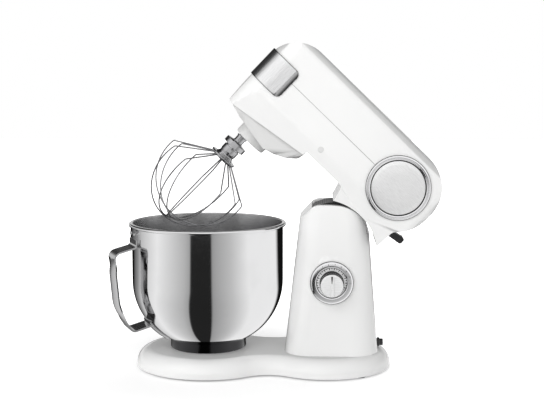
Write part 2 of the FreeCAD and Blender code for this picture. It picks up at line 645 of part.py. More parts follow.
def head_side_outside(name):
    """The head's outline from the side, open below where the skirt is cut round the column."""
    knee = "head_rear - rear_round * 0.414"
    return padded(name, "XZ_Plane", [
        ("nose_x + 2.5", "nose_low", "4"), ("nose_x", "cap_low - 10", "60"),
        ("nose_x", "head_top", "nose_round"), ("head_rear", "head_top", "rear_round"),
        ("head_rear", "medallion_z - rear_round * 0.42", "rear_round"),
        ("tail_x + 1.5", "neck_z + 3", "8"), ("tail_x", "pivot_z + 10"),
        ("neck_front", "pivot_z + 10"), ("neck_front", "neck_z - 20"),
        ("neck_front - 2.5", "neck_z - 10"), ("neck_front - 6", "neck_z", "7"),
        ("65", "neck_z", "3"), ("65", "neck_z - 6", "1")], "head_width + 20", both_ways=True)


def head_side_inside(name):
    inset = "wall"
    return padded(name, "XZ_Plane", [
        (f"nose_x + {inset}", "pivot_z"), (f"nose_x + {inset}", f"head_top - {inset}",
                                          f"nose_round - {inset}"),
        (f"head_rear - {inset}", f"head_top - {inset}", f"rear_round - {inset}"),
        (f"head_rear - {inset}", "medallion_z - rear_round * 0.42 + 1", f"rear_round - {inset}"),
        (f"tail_x + 1.5 - {inset}", "neck_z + 4", "6"), (f"tail_x - {inset}", "pivot_z"),
        (f"neck_front + {inset}", "pivot_z"), (f"neck_front + {inset}", "neck_z - 18"),
        (f"neck_front - 4 + {inset}", FLOOR), ("66", FLOOR), ("66", "pivot_z")],
        "head_width + 20", both_ways=True)


def make_head_shells():
    outside = common("head_outside", head_side_outside("head_side"), head_section("head_end", "0"),
                     head_plan("head_plan_form", "0"))
    inside = common("head_inside", head_side_inside("head_inner_side"),
                    head_section("head_inner_end", "wall"), head_plan("head_inner_plan", "wall"))
    skirt = cylinder("skirt_cut", "skirt_radius", "head_width + 20",
                     ("pivot_x", "-head_width / 2 - 10", "pivot_z - skirt_drop"), "Y")
    skin = cut("head_skin", outside, inside, skirt)
    above = slab("above_seam", "head_width", ("nose_x - 20", "head_rear + 20"),
                 ("seam_z", "head_top + 20"))
    outlet_hole = cylinder("outlet_hole", "outlet_radius", "30", ("nose_x - 10", "0", "outlet_z"),
                           "X")
    lever_slot = slab("lever_slot", "lever_width / 2 + 1.5", ("lever_x + 4", "head_rear + 5"),
                      ("lever_z - 16", "lever_z + 10"))
    plug_bore = cylinder("plug_bore", "plug_radius", "head_width + 20",
                         ("plug_x", "-head_width / 2 - 10", "plug_z"), "Y")
    head_node("head_top_cover", cut("head_top_cut", common("head_top_half", skin, above),
                                    outlet_hole))
    head_node("head_lower_shell", cut("head_lower_cut", skin, above, outlet_hole, lever_slot,
                                      plug_bore))
    half = "head_width / 2"
    head_node("side_plugs", group("side_plug_set", *[
        cylinder(f"side_plug_{name}", "plug_radius", "wall + slip", ("plug_x", start, "plug_z"), "Y")
        for name, start in (("near", f"-{half} - slip"), ("far", f"{half} - wall"))]))
    rings, discs = [], []
    for name, axis, start in (("near", "-Y", f"-{half}"), ("far", "Y", half)):
        at = ("medallion_x", start, "medallion_z")
        rings.append(place(turned(f"medallion_ring_{name}", [
            ("disc_radius + 0.4", "0"), ("medallion_radius", "0"),
            ("medallion_radius", "medallion_depth - 0.5", "1.2"),
            ("medallion_radius - 2.6", "medallion_depth", "1.2"),
            ("disc_radius + 0.4", "1.6")]), at, axis))
        discs.append(place(turned(f"medallion_disc_{name}", [
            ("0", "0"), ("disc_radius", "0"), ("disc_radius", "1.2", "0.6"),
            ("disc_radius - 12", "2.9", "60"), ("0", "3.4")]), at, axis))
    head_node("medallion_rings", group("medallion_ring_set", *rings))
    head_node("medallion_discs", group("medallion_disc_set", *discs))


# ------------------------------------------------------------------------------------------------
# Head frame and gear case
# ------------------------------------------------------------------------------------------------
CASE_TOP = "neck_z + wall"
BRIDGE_PLACES = ((-38, 40), (-38, -40), (56, 40), (56, -40))
STATOR_PLACES = ((-36, -36), (-36, 36), (36, -36), (36, 36))
LAY_X = "gear_module * (wheel_teeth + pinion_teeth) / 2"
RING_OUTER = "planet_module * ring_teeth / 2 + 5"


def make_chassis():
    plate = slab("chassis_plate", "head_low_width / 2 - wall - 1", ("66.3", "tail_x - 4"),
                 (CASE_TOP, f"{CASE_TOP} + chassis_thick"))
    window = slab("chassis_window", "lever_width / 2 + 3", ("lever_x - 17", "tail_x"),
                  (f"{CASE_TOP} - 1", f"{CASE_TOP} + chassis_thick + 1"))
    boss = cylinder("motor_boss", "16", "chassis_thick + 7", ("motor_x", "0", CASE_TOP))
    boss_bore = cylinder("motor_boss_bore", "motor_shaft_radius + 1", "40",
                         ("motor_x", "0", f"{CASE_TOP} - 10"))
    seat = cylinder("motor_bearing_seat", "11", "7.1",
                    ("motor_x", "0", f"{CASE_TOP} + chassis_thick"))
    posts = [cylinder(f"stator_post_{number}", "4", f"bridge_z - ({CASE_TOP})",
                      (f"motor_x + {x}", str(y), CASE_TOP))
             for number, (x, y) in enumerate(STATOR_PLACES)]
    arms, eyes = [], []
    for name, start in (("near", "-arm_inner - arm_thick"), ("far", "arm_inner")):
        arms.append(cylinder(f"arm_eye_{name}", "arm_eye", "arm_thick",
                             ("pivot_x", start, "pivot_z"), "Y"))
        arms.append(box(f"arm_leg_{name}", ("pivot_x - arm_width / 2", "pivot_x + arm_width / 2"),
                        (start, f"{start} + arm_thick"), ("pivot_z", f"{CASE_TOP} + 1")))
        eyes.append(cylinder(f"arm_bore_{name}", "pin_radius + 2", "arm_thick + 2",
                             ("pivot_x", f"{start} - 1", "pivot_z"), "Y"))
    lugs = [box(f"latch_lug_{name}", ("lever_x - 5", "lever_x + 5"), (low, f"{low} + 5"),
                ("lever_z - 5", f"{CASE_TOP} + 1"))
            for name, low in (("near", "-lever_width / 2 - 10"), ("far", "lever_width / 2 + 5"))]
    pin_hole = cylinder("latch_pin_hole", "2.5", "lever_width + 20",
                        ("lever_x", "-lever_width / 2 - 10", "lever_z"), "Y")
    body = fuse("chassis_body", plate, boss, *posts, *arms, *lugs)
    head_node("head_chassis", cut("chassis_cut", body, window, boss_bore, seat, pin_hole, *eyes))
    head_node("hinge_bushes", group("hinge_bush_set", *[
        tube(f"hinge_bush_{name}", "pin_radius + 2", "pin_radius + fit", "arm_thick",
             ("pivot_x", start, "pivot_z"), "Y")
        for name, start in (("near", "-arm_inner - arm_thick"), ("far", "arm_inner"))]))
    head_node("latch_pin", cylinder("latch_pin_rod", "2.5", "lever_width + 20",
                                    ("lever_x", "-lever_width / 2 - 10", "lever_z"), "Y"))
    turns = [Vector(3.9, 0, 0) + Vector(0, 0, 3.6 * step / 52) for step in range(53)]
    turns = [Rotation(Vector(0, 0, 1), 22.5 * step).multVec(point)
             for step, point in enumerate(turns)]
    line = Part.BSplineCurve()
    line.interpolate(turns)
    coil = line.toShape()
    wire = Part.Wire([Part.makeCircle(0.4, turns[0], coil.tangentAt(coil.FirstParameter))])
    spring = feature("latch_spring_coil",
                     Part.Wire([coil]).makePipeShell([wire], True, True))
    head_node("latch_spring", place(spring, ("lever_x", "lever_width / 2 + 0.7", "lever_z"), "Y"))


def make_gear_case():
    half = "head_low_width / 2 + 0.5"
    belly_side = padded("case_belly_side", "XZ_Plane", [
        ("nose_x + 5.5", f"{CASE_TOP}"), ("nose_x + 5.5", "nose_low + 2", "3"),
        ("-hub_radius - 8", "hub_top"), ("20", "hub_top - 9", "3"), ("37", "hub_top - 4", "20"),
        ("51", "hub_top + 3", "20"), ("64", "hub_top + 14", "10"), ("66", "hub_top + 24", "3"),
        ("66", CASE_TOP)], f"2 * ({half})", both_ways=True)
    belly = common("case_belly", belly_side, head_plan("case_plan", "wall + 1"))
    post = cylinder("lay_post", "13", f"wheel_z - 3 - ({CASE_TOP}) + 1", (LAY_X, "0",
                                                                       f"{CASE_TOP} - 1"))
    pillars = [cylinder(f"case_pillar_{number}", "5", f"bridge_z - ({CASE_TOP}) + 1",
                        (str(x), str(y), f"{CASE_TOP} - 1"))
               for number, (x, y) in enumerate(BRIDGE_PLACES)]
    bracket = slab("outlet_bracket_plate", "16", ("nose_x + 14.5", "nose_x + 22.5"),
                   (f"{CASE_TOP} - 1", "outlet_z"))
    hoop = cylinder("outlet_hoop", "outlet_radius + 3", "8", ("nose_x + 14.5", "0", "outlet_z"),
                    "X")
    bores = [
        cylinder("hub_bore", "hub_radius + 0.6", "hub_top + 1.5 - 190", ("0", "0", "190")),
        cylinder("ring_seat", RING_OUTER, "ring_z + ring_thick - hub_top", ("0", "0", "hub_top")),
        cylinder("neck_bore", "18", "5", ("0", "0", "ring_z + ring_thick - 1")),
        cylinder("case_bearing_seat", "18", "10.2", ("0", "0", "ring_z + ring_thick + 3")),
        cylinder("spindle_bore", "spindle_radius + 1", "60", ("0", "0", "hub_top")),
        cylinder("lay_bearing_seat", "11", "6", (LAY_X, "0", "wheel_z - 9")),
        cylinder("lay_bore", "6", "20", (LAY_X, "0", "wheel_z - 16")),
        cylinder("hoop_bore", "outlet_radius", "20", ("nose_x + 10", "0", "outlet_z"), "X")]
    head_node("gearbox_housing", cut("case_cut", fuse("case_body", belly, post, *pillars, bracket,
                                                      hoop), *bores))
    bridge = slab("bridge_plate", "47", ("-45", "64"), ("bridge_z", "bridge_z + bridge_thick"))
    motor_top = slab("motor_top_plate", "42", ("motor_x - 42", "motor_x + 42"),
                     ("bridge_z", "bridge_z + bridge_thick"))
    bore_spindle = cylinder("bridge_spindle_bore", "18", "10", ("0", "0", "bridge_z - 1"))
    bore_lay = cylinder("bridge_lay_bore", "11", "10", (LAY_X, "0", "bridge_z - 1"))
    bore_motor = cylinder("top_motor_bore", "11", "10", ("motor_x", "0", "bridge_z - 1"))
    head_node("gearbox_bridge", cut("bridge_cut", bridge, bore_spindle, bore_lay))
    head_node("motor_end_plate", cut("motor_top_cut", motor_top, bore_motor))
    big = [tube(f"spindle_bearing_{number}", "18", "spindle_radius + fit", thick, ("0", "0", low))
           for number, (low, thick) in enumerate((("ring_z + ring_thick + 4", "9"),
                                                  ("bridge_z", "bridge_thick")))]
    small = [tube(f"shaft_bearing_{number}", "11", "5 + fit", "6", at) for number, at in enumerate((
        (LAY_X, "0", "wheel_z - 9"), (LAY_X, "0", "bridge_z"),
        ("motor_x", "0", f"{CASE_TOP} + chassis_thick"), ("motor_x", "0", "bridge_z")))]
    head_node("ball_bearings", group("bearing_set", *big, *small))

    teeth, module = int(size("ring_teeth")), size("planet_module")
    pitch = teeth * module / 2
    space = tooth_outline(teeth, module, pitch - 0.9 * module, pitch + 1.2 * module,
                          -size("backlash"))
    hollow = space.fuse(Part.Face(Part.Wire(Part.makeCircle(pitch - 0.9 * module)))).removeSplitter()
    thick = size("ring_thick")
    ring = Part.makeCylinder(size(RING_OUTER), thick).cut(hollow.extrude(Vector(0, 0, thick)))
    head_node("ring_gear", feature("ring_gear_teeth", moved(ring, ("0", "0", "ring_z"))))


# ------------------------------------------------------------------------------------------------
# Drive: motor, belt, layshaft, planetary hub and beater shaft
# ------------------------------------------------------------------------------------------------
def make_motor():
    stator = box("stator_block", ("motor_x - 41", "motor_x + 41"), ("-41", "41"),
                 ("core_low + 2", "core_low + core_height - 2"))
    bore = cylinder("stator_bore", "core_radius + 0.8", "core_height + 4",
                    ("motor_x", "0", "core_low - 2"))
    holes = [cylinder(f"stator_hole_{number}", "4", "core_height + 4",
                      (f"motor_x + {x}", str(y), "core_low - 2"))
             for number, (x, y) in enumerate(STATOR_PLACES)]
    head_node("motor_stator", cut("stator_cut", stator, bore, *holes))
    shaft = cylinder("rotor_shaft", "motor_shaft_radius",
                     f"belt_z + belt_width + 4 - ({CASE_TOP}) - chassis_thick",
                     ("motor_x", "0", f"{CASE_TOP} + chassis_thick"))
    core = cylinder("rotor_core", "core_radius", "core_height", ("motor_x", "0", "core_low"))
    contact = cylinder("commutator", "11", "5", ("motor_x", "0", "core_low + core_height"))
    head_node("motor_armature", fuse("armature_fused", shaft, core, contact))
    hub = cylinder("fan_hub", "8", "6", ("motor_x", "0", "core_low - 7.5"))
    disc = cylinder("fan_disc", "30", "1.5", ("motor_x", "0", "core_low - 7.5"))
    blades = []
    for number in range(8):
        blade = bind(doc.addObject("Part::Box", f"fan_blade_{number}"), Length="22", Width="1.2",
                     Height="5")
        turn = Rotation(Vector(0, 0, 1), 45 * number)
        centre = Vector(size("motor_x"), 0, size("core_low - 7"))
        blade.Placement = Placement(centre + turn.multVec(Vector(7.5, -0.6, 0)), turn)
        blades.append(blade)
    head_node("cooling_fan", cut("fan_cut", fuse("fan_fused", hub, disc, *blades),
                                 cylinder("fan_bore", "motor_shaft_radius", "20",
                                          ("motor_x", "0", "core_low - 15"))))
    head_node("motor_pulley", pulley("motor_pulley_body", "motor_pulley_radius",
                                     "motor_shaft_radius", "motor_x"))


def pulley(name, radius, bore, x):
    """A flanged belt wheel on a vertical shaft."""
    return turned(name, [
        (bore, "belt_z - 1"), (f"{radius} + belt_thick + 1", "belt_z - 1"),
        (f"{radius} + belt_thick + 1", "belt_z - 0.3"), (radius, "belt_z - 0.3"),
        (radius, "belt_z + belt_width + 0.3"), (f"{radius} + belt_thick + 1",
                                                "belt_z + belt_width + 0.3"),
        (f"{radius} + belt_thick + 1", "belt_z + belt_width + 1"),
        (bore, "belt_z + belt_width + 1")], (x, "0", "0"))


def make_layshaft():
    shaft = cylinder("layshaft_rod", "5", "belt_z + belt_width + 3 - wheel_z + 14",
                     (LAY_X, "0", "wheel_z - 14"))
    head_node("layshaft", shaft)
    head_node("layshaft_pulley", pulley("layshaft_pulley_body", "lay_pulley_radius", "5", LAY_X))
    teeth = int(size("pinion_teeth"))
    wheel = spur_wheel(teeth, size("gear_module"), size("wheel_thick + 1"), 5, size("backlash"))
    wheel.rotate(Vector(), Vector(0, 0, 1), 180 / teeth if teeth % 2 == 0 else 0)
    head_node("layshaft_gear", feature("layshaft_gear_teeth",
                                       moved(wheel, (LAY_X, "0", "wheel_z - 0.5"))))
    gap = size("slip")
    first, second = size("lay_pulley_radius") + gap, size("motor_pulley_radius") + gap
    apart, thick = size(f"motor_x - ({LAY_X})"), size("belt_thick")
    outside = stadium(first + thick, second + thick, apart)
    inside = stadium(first, second, apart)
    belt = outside.cut(inside).extrude(Vector(0, 0, size("belt_width")))
    head_node("drive_belt", feature("drive_belt_loop", moved(belt, (LAY_X, "0", "belt_z"))))


def face_wheel():
    """A ring of teeth under the main wheel that the power outlet's pinion runs on."""
    teeth, module = int(size("face_teeth")), size("gear_module")
    pitch, width = teeth * module / 2, size("face_width")
    tip, root = -0.9 * module, 1.2 * module
    inner, outer = pitch - width / 2, pitch + width / 2
    lean = math.tan(math.radians(20))
    step = math.pi * module
    shapes = []
    for number in range(teeth):
        sections = []
        for radius in (inner - 0.02, outer + 0.02):
            scale = radius / pitch
            half = (step / 4 - 2 * size("backlash")) * scale
            levels = ((tip, half + tip * lean), (root + 0.3, half + root * lean))
            points = [Vector(radius, side * across, level) for level, across in levels
                      for side in ((-1, 1) if level == tip else (1, -1))]
            sections.append(Part.makePolygon(points + points[:1]))
        tooth = Part.makeLoft(sections, True, True)
        tooth.rotate(Vector(), Vector(0, 0, 1), 360 / teeth * (number + 0.5))
        shapes.append(tooth)
    backing = Part.makeCylinder(outer + 1.5, 2.2).cut(Part.makeCylinder(inner - 1.5, 2.2))
    backing.translate(Vector(0, 0, root))
    return backing.fuse(shapes).removeSplitter()


def make_planetary():
    """The hub that hangs under the head, its spindle, and the wheels on it."""
    hub = turned("carrier_body", [
        ("0", "hub_low"), ("hub_radius - 1", "hub_low", "0.5"), ("hub_radius", "hub_low + 2"),
        ("hub_radius", "hub_top"), ("16.2", "hub_top"), ("16.2", "ring_z + ring_thick + 1.5"),
        ("spindle_radius + 4", "ring_z + ring_thick + 1.5"),
        ("spindle_radius + 4", "ring_z + ring_thick + 4"),
        ("spindle_radius", "ring_z + ring_thick + 4"), ("spindle_radius", "spindle_top"),
        ("0", "spindle_top")])
    window = cylinder("planet_window", "planet_module * planet_teeth / 2 + 1.4",
                      "ring_thick + 1", ("-eccentric", "0", "ring_z - 0.5"))
    bore = cylinder("beater_bore", "beater_radius + 0.1", "ring_z + ring_thick + 0.8 - 190",
                    ("-eccentric", "0", "190"))
    head_node("planetary_hub", cut("carrier_cut", hub, window, bore))
    wheel = spur_wheel(int(size("wheel_teeth")), size("gear_module"), size("wheel_thick"),
                       size("spindle_radius"), size("backlash"))
    module = size("gear_module")
    face = face_wheel()
    pitch_z = size("outlet_z") + size("bevel_teeth") * module / 2
    face.translate(Vector(0, 0, pitch_z - size("wheel_z")))
    both = wheel.fuse(face)
    head_node("spindle_gear", feature("spindle_gear_teeth", moved(both, ("0", "0", "wheel_z"))))

    rod = cylinder("beater_rod", "beater_radius", "ring_z + ring_thick + 0.5 - beater_low",
                   ("-eccentric", "0", "beater_low"))
    head_node("beater_shaft", cut("beater_shaft_cut", rod, cylinder(
        "cross_pin_hole", "1.5", "30", ("-eccentric", "-15", "cross_pin_z"), "Y")))
    head_node("beater_cross_pin", cylinder("cross_pin_rod", "1.5", "16",
                                           ("-eccentric", "-8", "cross_pin_z"), "Y"))
    teeth = int(size("planet_teeth"))
    pinion = spur_wheel(teeth, size("planet_module"), size("ring_thick"), size("beater_radius"),
                        size("backlash"))
    head_node("beater_pinion", feature("beater_pinion_teeth",
                                       moved(pinion, ("-eccentric", "0", "ring_z"))))


def make_outlet():
    nose = "nose_x + 1.5"
    collar = turned("outlet_collar_body", [
        ("outlet_bore", "0", "1"), ("outlet_radius", "0", "1"),
        ("outlet_radius", "outlet_length"), ("outlet_shaft_radius + 0.1", "outlet_length"),
        ("outlet_shaft_radius + 0.1", "outlet_depth"), ("outlet_bore", "outlet_depth")])
    head_node("outlet_collar", place(collar, (nose, "0", "outlet_z"), "X"))
    reach = "gear_module * face_teeth / 2"
    floor = f"{nose} + outlet_depth"
    rod = cylinder("outlet_rod", "outlet_shaft_radius",
                   f"face_width / 2 + 2 - ({reach}) - ({floor})", (floor, "0", "outlet_z"), "X")
    socket = box("outlet_socket", (f"{floor} - 1", f"{floor} + 11"),
                 ("-socket_side / 2", "socket_side / 2"),
                 ("outlet_z - socket_side / 2", "outlet_z + socket_side / 2"))
    head_node("outlet_shaft", cut("outlet_shaft_cut", rod, socket))
    teeth = int(size("bevel_teeth"))
    pinion = spur_wheel(teeth, size("gear_module"), size("face_width"),
                        size("outlet_shaft_radius"), 2 * size("backlash"))
    at = (f"-({reach}) - face_width / 2", "0", "outlet_z")
    head_node("outlet_pinion", feature("outlet_pinion_teeth", moved(pinion, at, "X")))


def make_nose_cap():
    """A thin metal cover that wraps the nose and closes the power outlet."""
    def band(name, gap):
        half = f"(head_width / 2 + {gap})"
        rounding = f"plan_round + {gap}"
        return padded(name, "XY_Plane", [
            (f"nose_x - ({gap})", f"-{half}", rounding), ("cap_rear + 5", f"-{half}"),
            ("cap_rear + 5", half), (f"nose_x - ({gap})", half, rounding)],
            "cap_high - cap_low", offset="cap_low")
    limits = padded("cap_limits", "XZ_Plane", [
        ("nose_x - 10", "cap_low"), ("cap_rear", "cap_low", "cap_corner"),
        ("cap_rear", "cap_high", "cap_corner"), ("nose_x - 10", "cap_high")],
        "head_width + 20", both_ways=True)
    skin = cut("cap_skin", band("cap_outside", "slip + cap_thick"), band("cap_inside", "slip"))
    head_node("nose_cap", common("cap_shape", skin, limits))


# ------------------------------------------------------------------------------------------------
# Whisk
# ------------------------------------------------------------------------------------------------
def rounded_path(points, radii):
    """A wire through points, each inner corner replaced by a tangent arc."""
    edges, start = [], points[0]
    for index in range(1, len(points) - 1):
        point, radius = points[index], radii[index - 1]
        back = (points[index - 1] - point).normalize()
        ahead = (points[index + 1] - point).normalize()
        half = back.getAngle(ahead) / 2
        reach = radius / math.tan(half)
        middle = (back + ahead).normalize() * (math.hypot(reach, radius) - radius)
        enter, leave = point + back * reach, point + ahead * reach
        edges.append(Part.LineSegment(start, enter).toShape())
        edges.append(Part.Arc(enter, point + middle, leave).toShape())
        start = leave
    edges.append(Part.LineSegment(start, points[-1]).toShape())
    return Part.Wire(edges)


def whisk_loop(depth, start, kink, rounding, radius):
    """A wire that runs out to a kink on each side and hangs between them as a round arc."""
    middle_z = (kink.x ** 2 + kink.z ** 2 - depth ** 2) / (2 * (kink.z - depth))
    middle, reach = Vector(0, 0, middle_z), middle_z - depth
    along = (kink - start).normalize()
    inward = Vector(along.z, 0, -along.x)
    offset = start + inward * rounding - middle
    slant = offset.dot(along)
    run = -slant + math.sqrt(slant ** 2 - offset.dot(offset) + (reach - rounding) ** 2)
    centre = start + inward * rounding + along * run
    bend_in = centre - inward * rounding
    bend_out = middle + (centre - middle).normalize() * reach
    between = centre + (bend_in + bend_out - centre * 2).normalize() * rounding
    flip = lambda point: Vector(-point.x, 0, point.z)
    path = Part.Wire([
        Part.LineSegment(start, bend_in).toShape(), Part.Arc(bend_in, between, bend_out).toShape(),
        Part.Arc(bend_out, Vector(0, 0, depth), flip(bend_out)).toShape(),
        Part.Arc(flip(bend_out), flip(between), flip(bend_in)).toShape(),
        Part.LineSegment(flip(bend_in), flip(start)).toShape()])
    circle = Part.Wire([Part.makeCircle(radius, start, along)])
    return path.makePipeShell([circle], True, True)


def make_whisk():
    axis = ("-eccentric", "0", "0")
    ears_top, collar_top = "ear_disc_z + ear_disc_thick", "whisk_collar_z + 4.5"
    hub = turned("whisk_hub_body", [
        ("0", collar_top), ("whisk_body_radius + 2", collar_top), ("whisk_body_radius - 1",
                                                                   f"{collar_top} + 4.5", "2"),
        ("whisk_body_radius", "whisk_body_low"), ("whisk_body_radius", "ear_disc_z - 2", "0.6"),
        ("whisk_body_radius - 1.6", "ear_disc_z - 2"), ("whisk_body_radius - 1.6", "ear_disc_z"),
        ("ear_disc_radius", "ear_disc_z", "1"), ("ear_disc_radius", ears_top, "1"),
        ("whisk_neck_radius", f"{ears_top} + 1.5", "2"), ("whisk_neck_radius", "whisk_top - 2"),
        ("whisk_neck_radius + 1", "whisk_top - 2"), ("whisk_neck_radius + 1", "whisk_top", "0.6"),
        ("0", "whisk_top")], axis)
    bore = cylinder("whisk_bore", "beater_radius + 0.15", "whisk_top + 1 - beater_low + slip",
                    ("-eccentric", "0", "beater_low - slip"))
    slot = box("whisk_slot", ("-eccentric - 1.8", "-eccentric + 1.8"),
               ("-whisk_neck_radius - 2", "whisk_neck_radius + 2"),
               ("cross_pin_z - 1.8", "whisk_top + 1"))
    notches = [box(f"ear_notch_{side}", ("-eccentric - 5", "-eccentric + 5"),
                   (low, f"{low} + 4"), ("ear_disc_z - 1", f"{ears_top} + 1"))
               for side, low in (("near", "-ear_disc_radius - 0.6"),
                                 ("far", "ear_disc_radius - 3.4"))]
    slots = [box(f"body_slot_{side}", ("-eccentric - 3", "-eccentric + 3"), (low, f"{low} + 3"),
                 ("whisk_body_low + 1", "ear_disc_z - 4"))
             for side, low in (("near", "-whisk_body_radius - 0.6"),
                               ("far", "whisk_body_radius - 2.4"))]
    head_node("whisk_hub", cut("whisk_hub_cut", hub, bore, slot, *notches, *slots))
    collar = turned("whisk_collar_body", [
        ("0", "whisk_collar_z"), ("whisk_collar_radius - 3", "whisk_collar_z", "1"),
        ("whisk_collar_radius", f"{collar_top} - 1.4", "1.2"),
        ("whisk_collar_radius - 1.4", collar_top), ("0", collar_top)], axis)
    loops, radius = int(size("wire_loops")), size("wire_radius")
    start = Vector(size("wire_ring"), 0, size("whisk_collar_z + 1.4"))
    kink = Vector(size("kink_radius"), 0, size("kink_z"))
    wires = []
    for number in range(loops):
        depth = size("whisk_tip_z") + 2.1 * radius * number
        loop = whisk_loop(depth, start, kink, size("kink_round"), radius)
        loop.rotate(Vector(), Vector(0, 0, 1), 180 / loops * number + size("wire_turn"))
        wires.append(loop)
    drilled = cut("whisk_collar_cut", collar, place(feature("collar_holes",
                                                            Part.makeCompound(wires)), axis))
    head_node("whisk_collar", drilled)
    head_node("whisk_wires", place(feature("whisk_wire_set", Part.makeCompound(wires)), axis))


# ------------------------------------------------------------------------------------------------
# Release lever
# ------------------------------------------------------------------------------------------------
def make_lever():
    tip = "lever_x + lever_reach"
    bar = padded("lever_bar", "XZ_Plane", [
        ("lever_x - 13", "lever_z - 7.5", "1"), ("lever_x - 7", "lever_z - 7.5", "1"),
        ("lever_x - 3", "lever_z - lever_thick / 2"),
        ("lever_x + 16", "lever_z - lever_thick / 2", "8"), (tip, "lever_z - 1", "3"),
        (tip, "lever_z + 9", "3"), ("lever_x + 16", "lever_z + lever_thick / 2", "8"),
        ("lever_x - 13", "lever_z + lever_thick / 2", "2")], "lever_width", both_ways=True)
    bore = cylinder("lever_bore", "2.6", "lever_width + 2",
                    ("lever_x", "-lever_width / 2 - 1", "lever_z"), "Y")
    head_node("release_lever", cut("lever_cut", bar, bore))


# ------------------------------------------------------------------------------------------------
# Bowl
# ------------------------------------------------------------------------------------------------
def bowl_form(name, inset, top="rim_z"):
    """The bowl's outside as a solid of revolution, inset from it: flat, cone, round, cylinder."""
    bend = ("bowl_low + (bowl_radius - bowl_flat) * tan(bowl_lean)"
            f" + ({inset}) * (1 - sin(bowl_lean)) / cos(bowl_lean)")
    # the cone's length limits the round above it
    fits = "((bowl_radius - bowl_flat) / cos(bowl_lean) - 2.5) / tan((90 - bowl_lean) / 2)"
    return turned(name, [
        ("0", f"bowl_low + ({inset})"),
        (f"bowl_flat - ({inset}) * tan(bowl_lean / 2)", f"bowl_low + ({inset})", "6"),
        (f"bowl_radius - ({inset})", bend, f"min(bowl_curve; {fits}) - ({inset})"),
        (f"bowl_radius - ({inset})", top), ("0", top)])


def on_cone(radius):
    """The height of the bowl's outside where its low part is a cone."""
    return f"bowl_low + ({radius} - bowl_flat) * tan(bowl_lean)"


def make_bowl():
    rim = turned("bowl_rim", [
        ("bowl_radius - bowl_wall", "rim_z - 2 * rim_roll"),
        ("bowl_radius + rim_reach", "rim_z - 2 * rim_roll", "rim_roll - 0.3"),
        ("bowl_radius + rim_reach", "rim_z", "rim_roll - 0.3"),
        ("bowl_radius - bowl_wall", "rim_z")])
    node("bowl_shell", cut("bowl_cut", fuse("bowl_and_rim", bowl_form("bowl_outside", "0"), rim),
                           bowl_form("bowl_inside", "bowl_wall", "rim_z + 5")))
    inner = "(bowl_foot_radius - bowl_foot_wall)"
    ring = turned("foot_ring_body", [
        (inner, "bowl_foot_low"), ("bowl_foot_radius", "bowl_foot_low"),
        ("bowl_foot_radius", on_cone("bowl_foot_radius")), (inner, on_cone(inner))])
    lugs = [wedge(f"foot_lug_{angle}", "seat_radius + slip", "bowl_foot_radius - 1",
                  "bowl_foot_low + 0.6", "2.4", angle, 24) for angle in SEAT_SCREW_ANGLES]
    node("bowl_foot_ring", fuse("foot_ring_fused", ring, *lugs))

    skin = cut("handle_skin", bowl_form("handle_skin_outside", "-strap_thick"),
               bowl_form("handle_skin_inside", "0"))
    plates = fuse("handle_plates",
                  box("upper_plate", ("0", "bowl_radius * 2"),
                      ("-strap_width / 2", "strap_width / 2"), ("bracket_low", "bracket_high")),
                  box("lower_plate", ("tab_inner", "bowl_radius * 0.59 + 23.43"),
                      ("-strap_width / 2", "strap_width / 2"), ("bowl_low", "handle_foot + 12")))
    strap = cut("handle_strap_cut", feature("handle_strap", strap_band()),
                bowl_form("handle_clearance", "0"))
    rivets, bores = [[cylinder(f"{name}_{side}", "rivet_radius", "strap_thick + 1",
                               ("bowl_radius + slip", across, "bracket_high - 7"), "X")
                      for side, across in (("near", "-strap_width / 4"), ("far", "strap_width / 4"))]
                     for name in ("handle_rivet", "handle_bore")]
    handle = cut("handle_drilled", fuse("handle_fused", strap,
                                        common("handle_ends", skin, plates)), *bores)
    turn = size("handle_turn")
    node("bowl_handle", place(handle, turn=turn))
    node("handle_rivets", place(group("handle_rivet_set", *rivets), turn=turn))


def strap_band():
    """The bent band of the handle, in the plane through the bowl's axis and extruded both ways."""
    thick, half = size("strap_thick"), size("strap_width") / 2
    wall, reach = size("bowl_radius") + thick / 2, size("bowl_radius + handle_reach")
    top, foot = size("bracket_low"), size("handle_foot")
    middle = [(wall, top + 9), (wall, top - 1.5), (reach - 3, top - 9), (reach, top - 36),
              (reach - 4.5, foot + 34), (reach - 26, foot), (reach - 88, foot + 16)]
    points = [Vector(across, 0, high) for across, high in middle]
    chains = []
    for side in (1, -1):
        shifted = []
        for index, point in enumerate(points):
            before = (point - points[max(index - 1, 0)]) if index else points[1] - points[0]
            after = (points[index + 1] - point) if index < len(points) - 1 else before
            before.normalize()
            after.normalize()
            middle_line = Vector(-before.z - after.z, 0, before.x + after.x).normalize()
            lean = math.cos(before.getAngle(after) / 2)
            shifted.append(point + middle_line * (side * thick / 2 / lean))
        chains.append(shifted)
    bends = [(5, 1), (10, -1), (30, -1), (45, -1), (8, -1)]
    sides = [rounded_path(chain, [radius + side * way * thick / 2 for radius, way in bends])
             for chain, side in zip(chains, (-1, 1))]
    ends = [Part.LineSegment(chains[0][index], chains[1][index]).toShape() for index in (0, -1)]
    strip = Part.Face(Part.Wire(Part.__sortEdges__(sides[0].Edges + sides[1].Edges + ends)))
    strip.translate(Vector(0, -half, 0))
    return strip.extrude(Vector(0, 2 * half, 0))


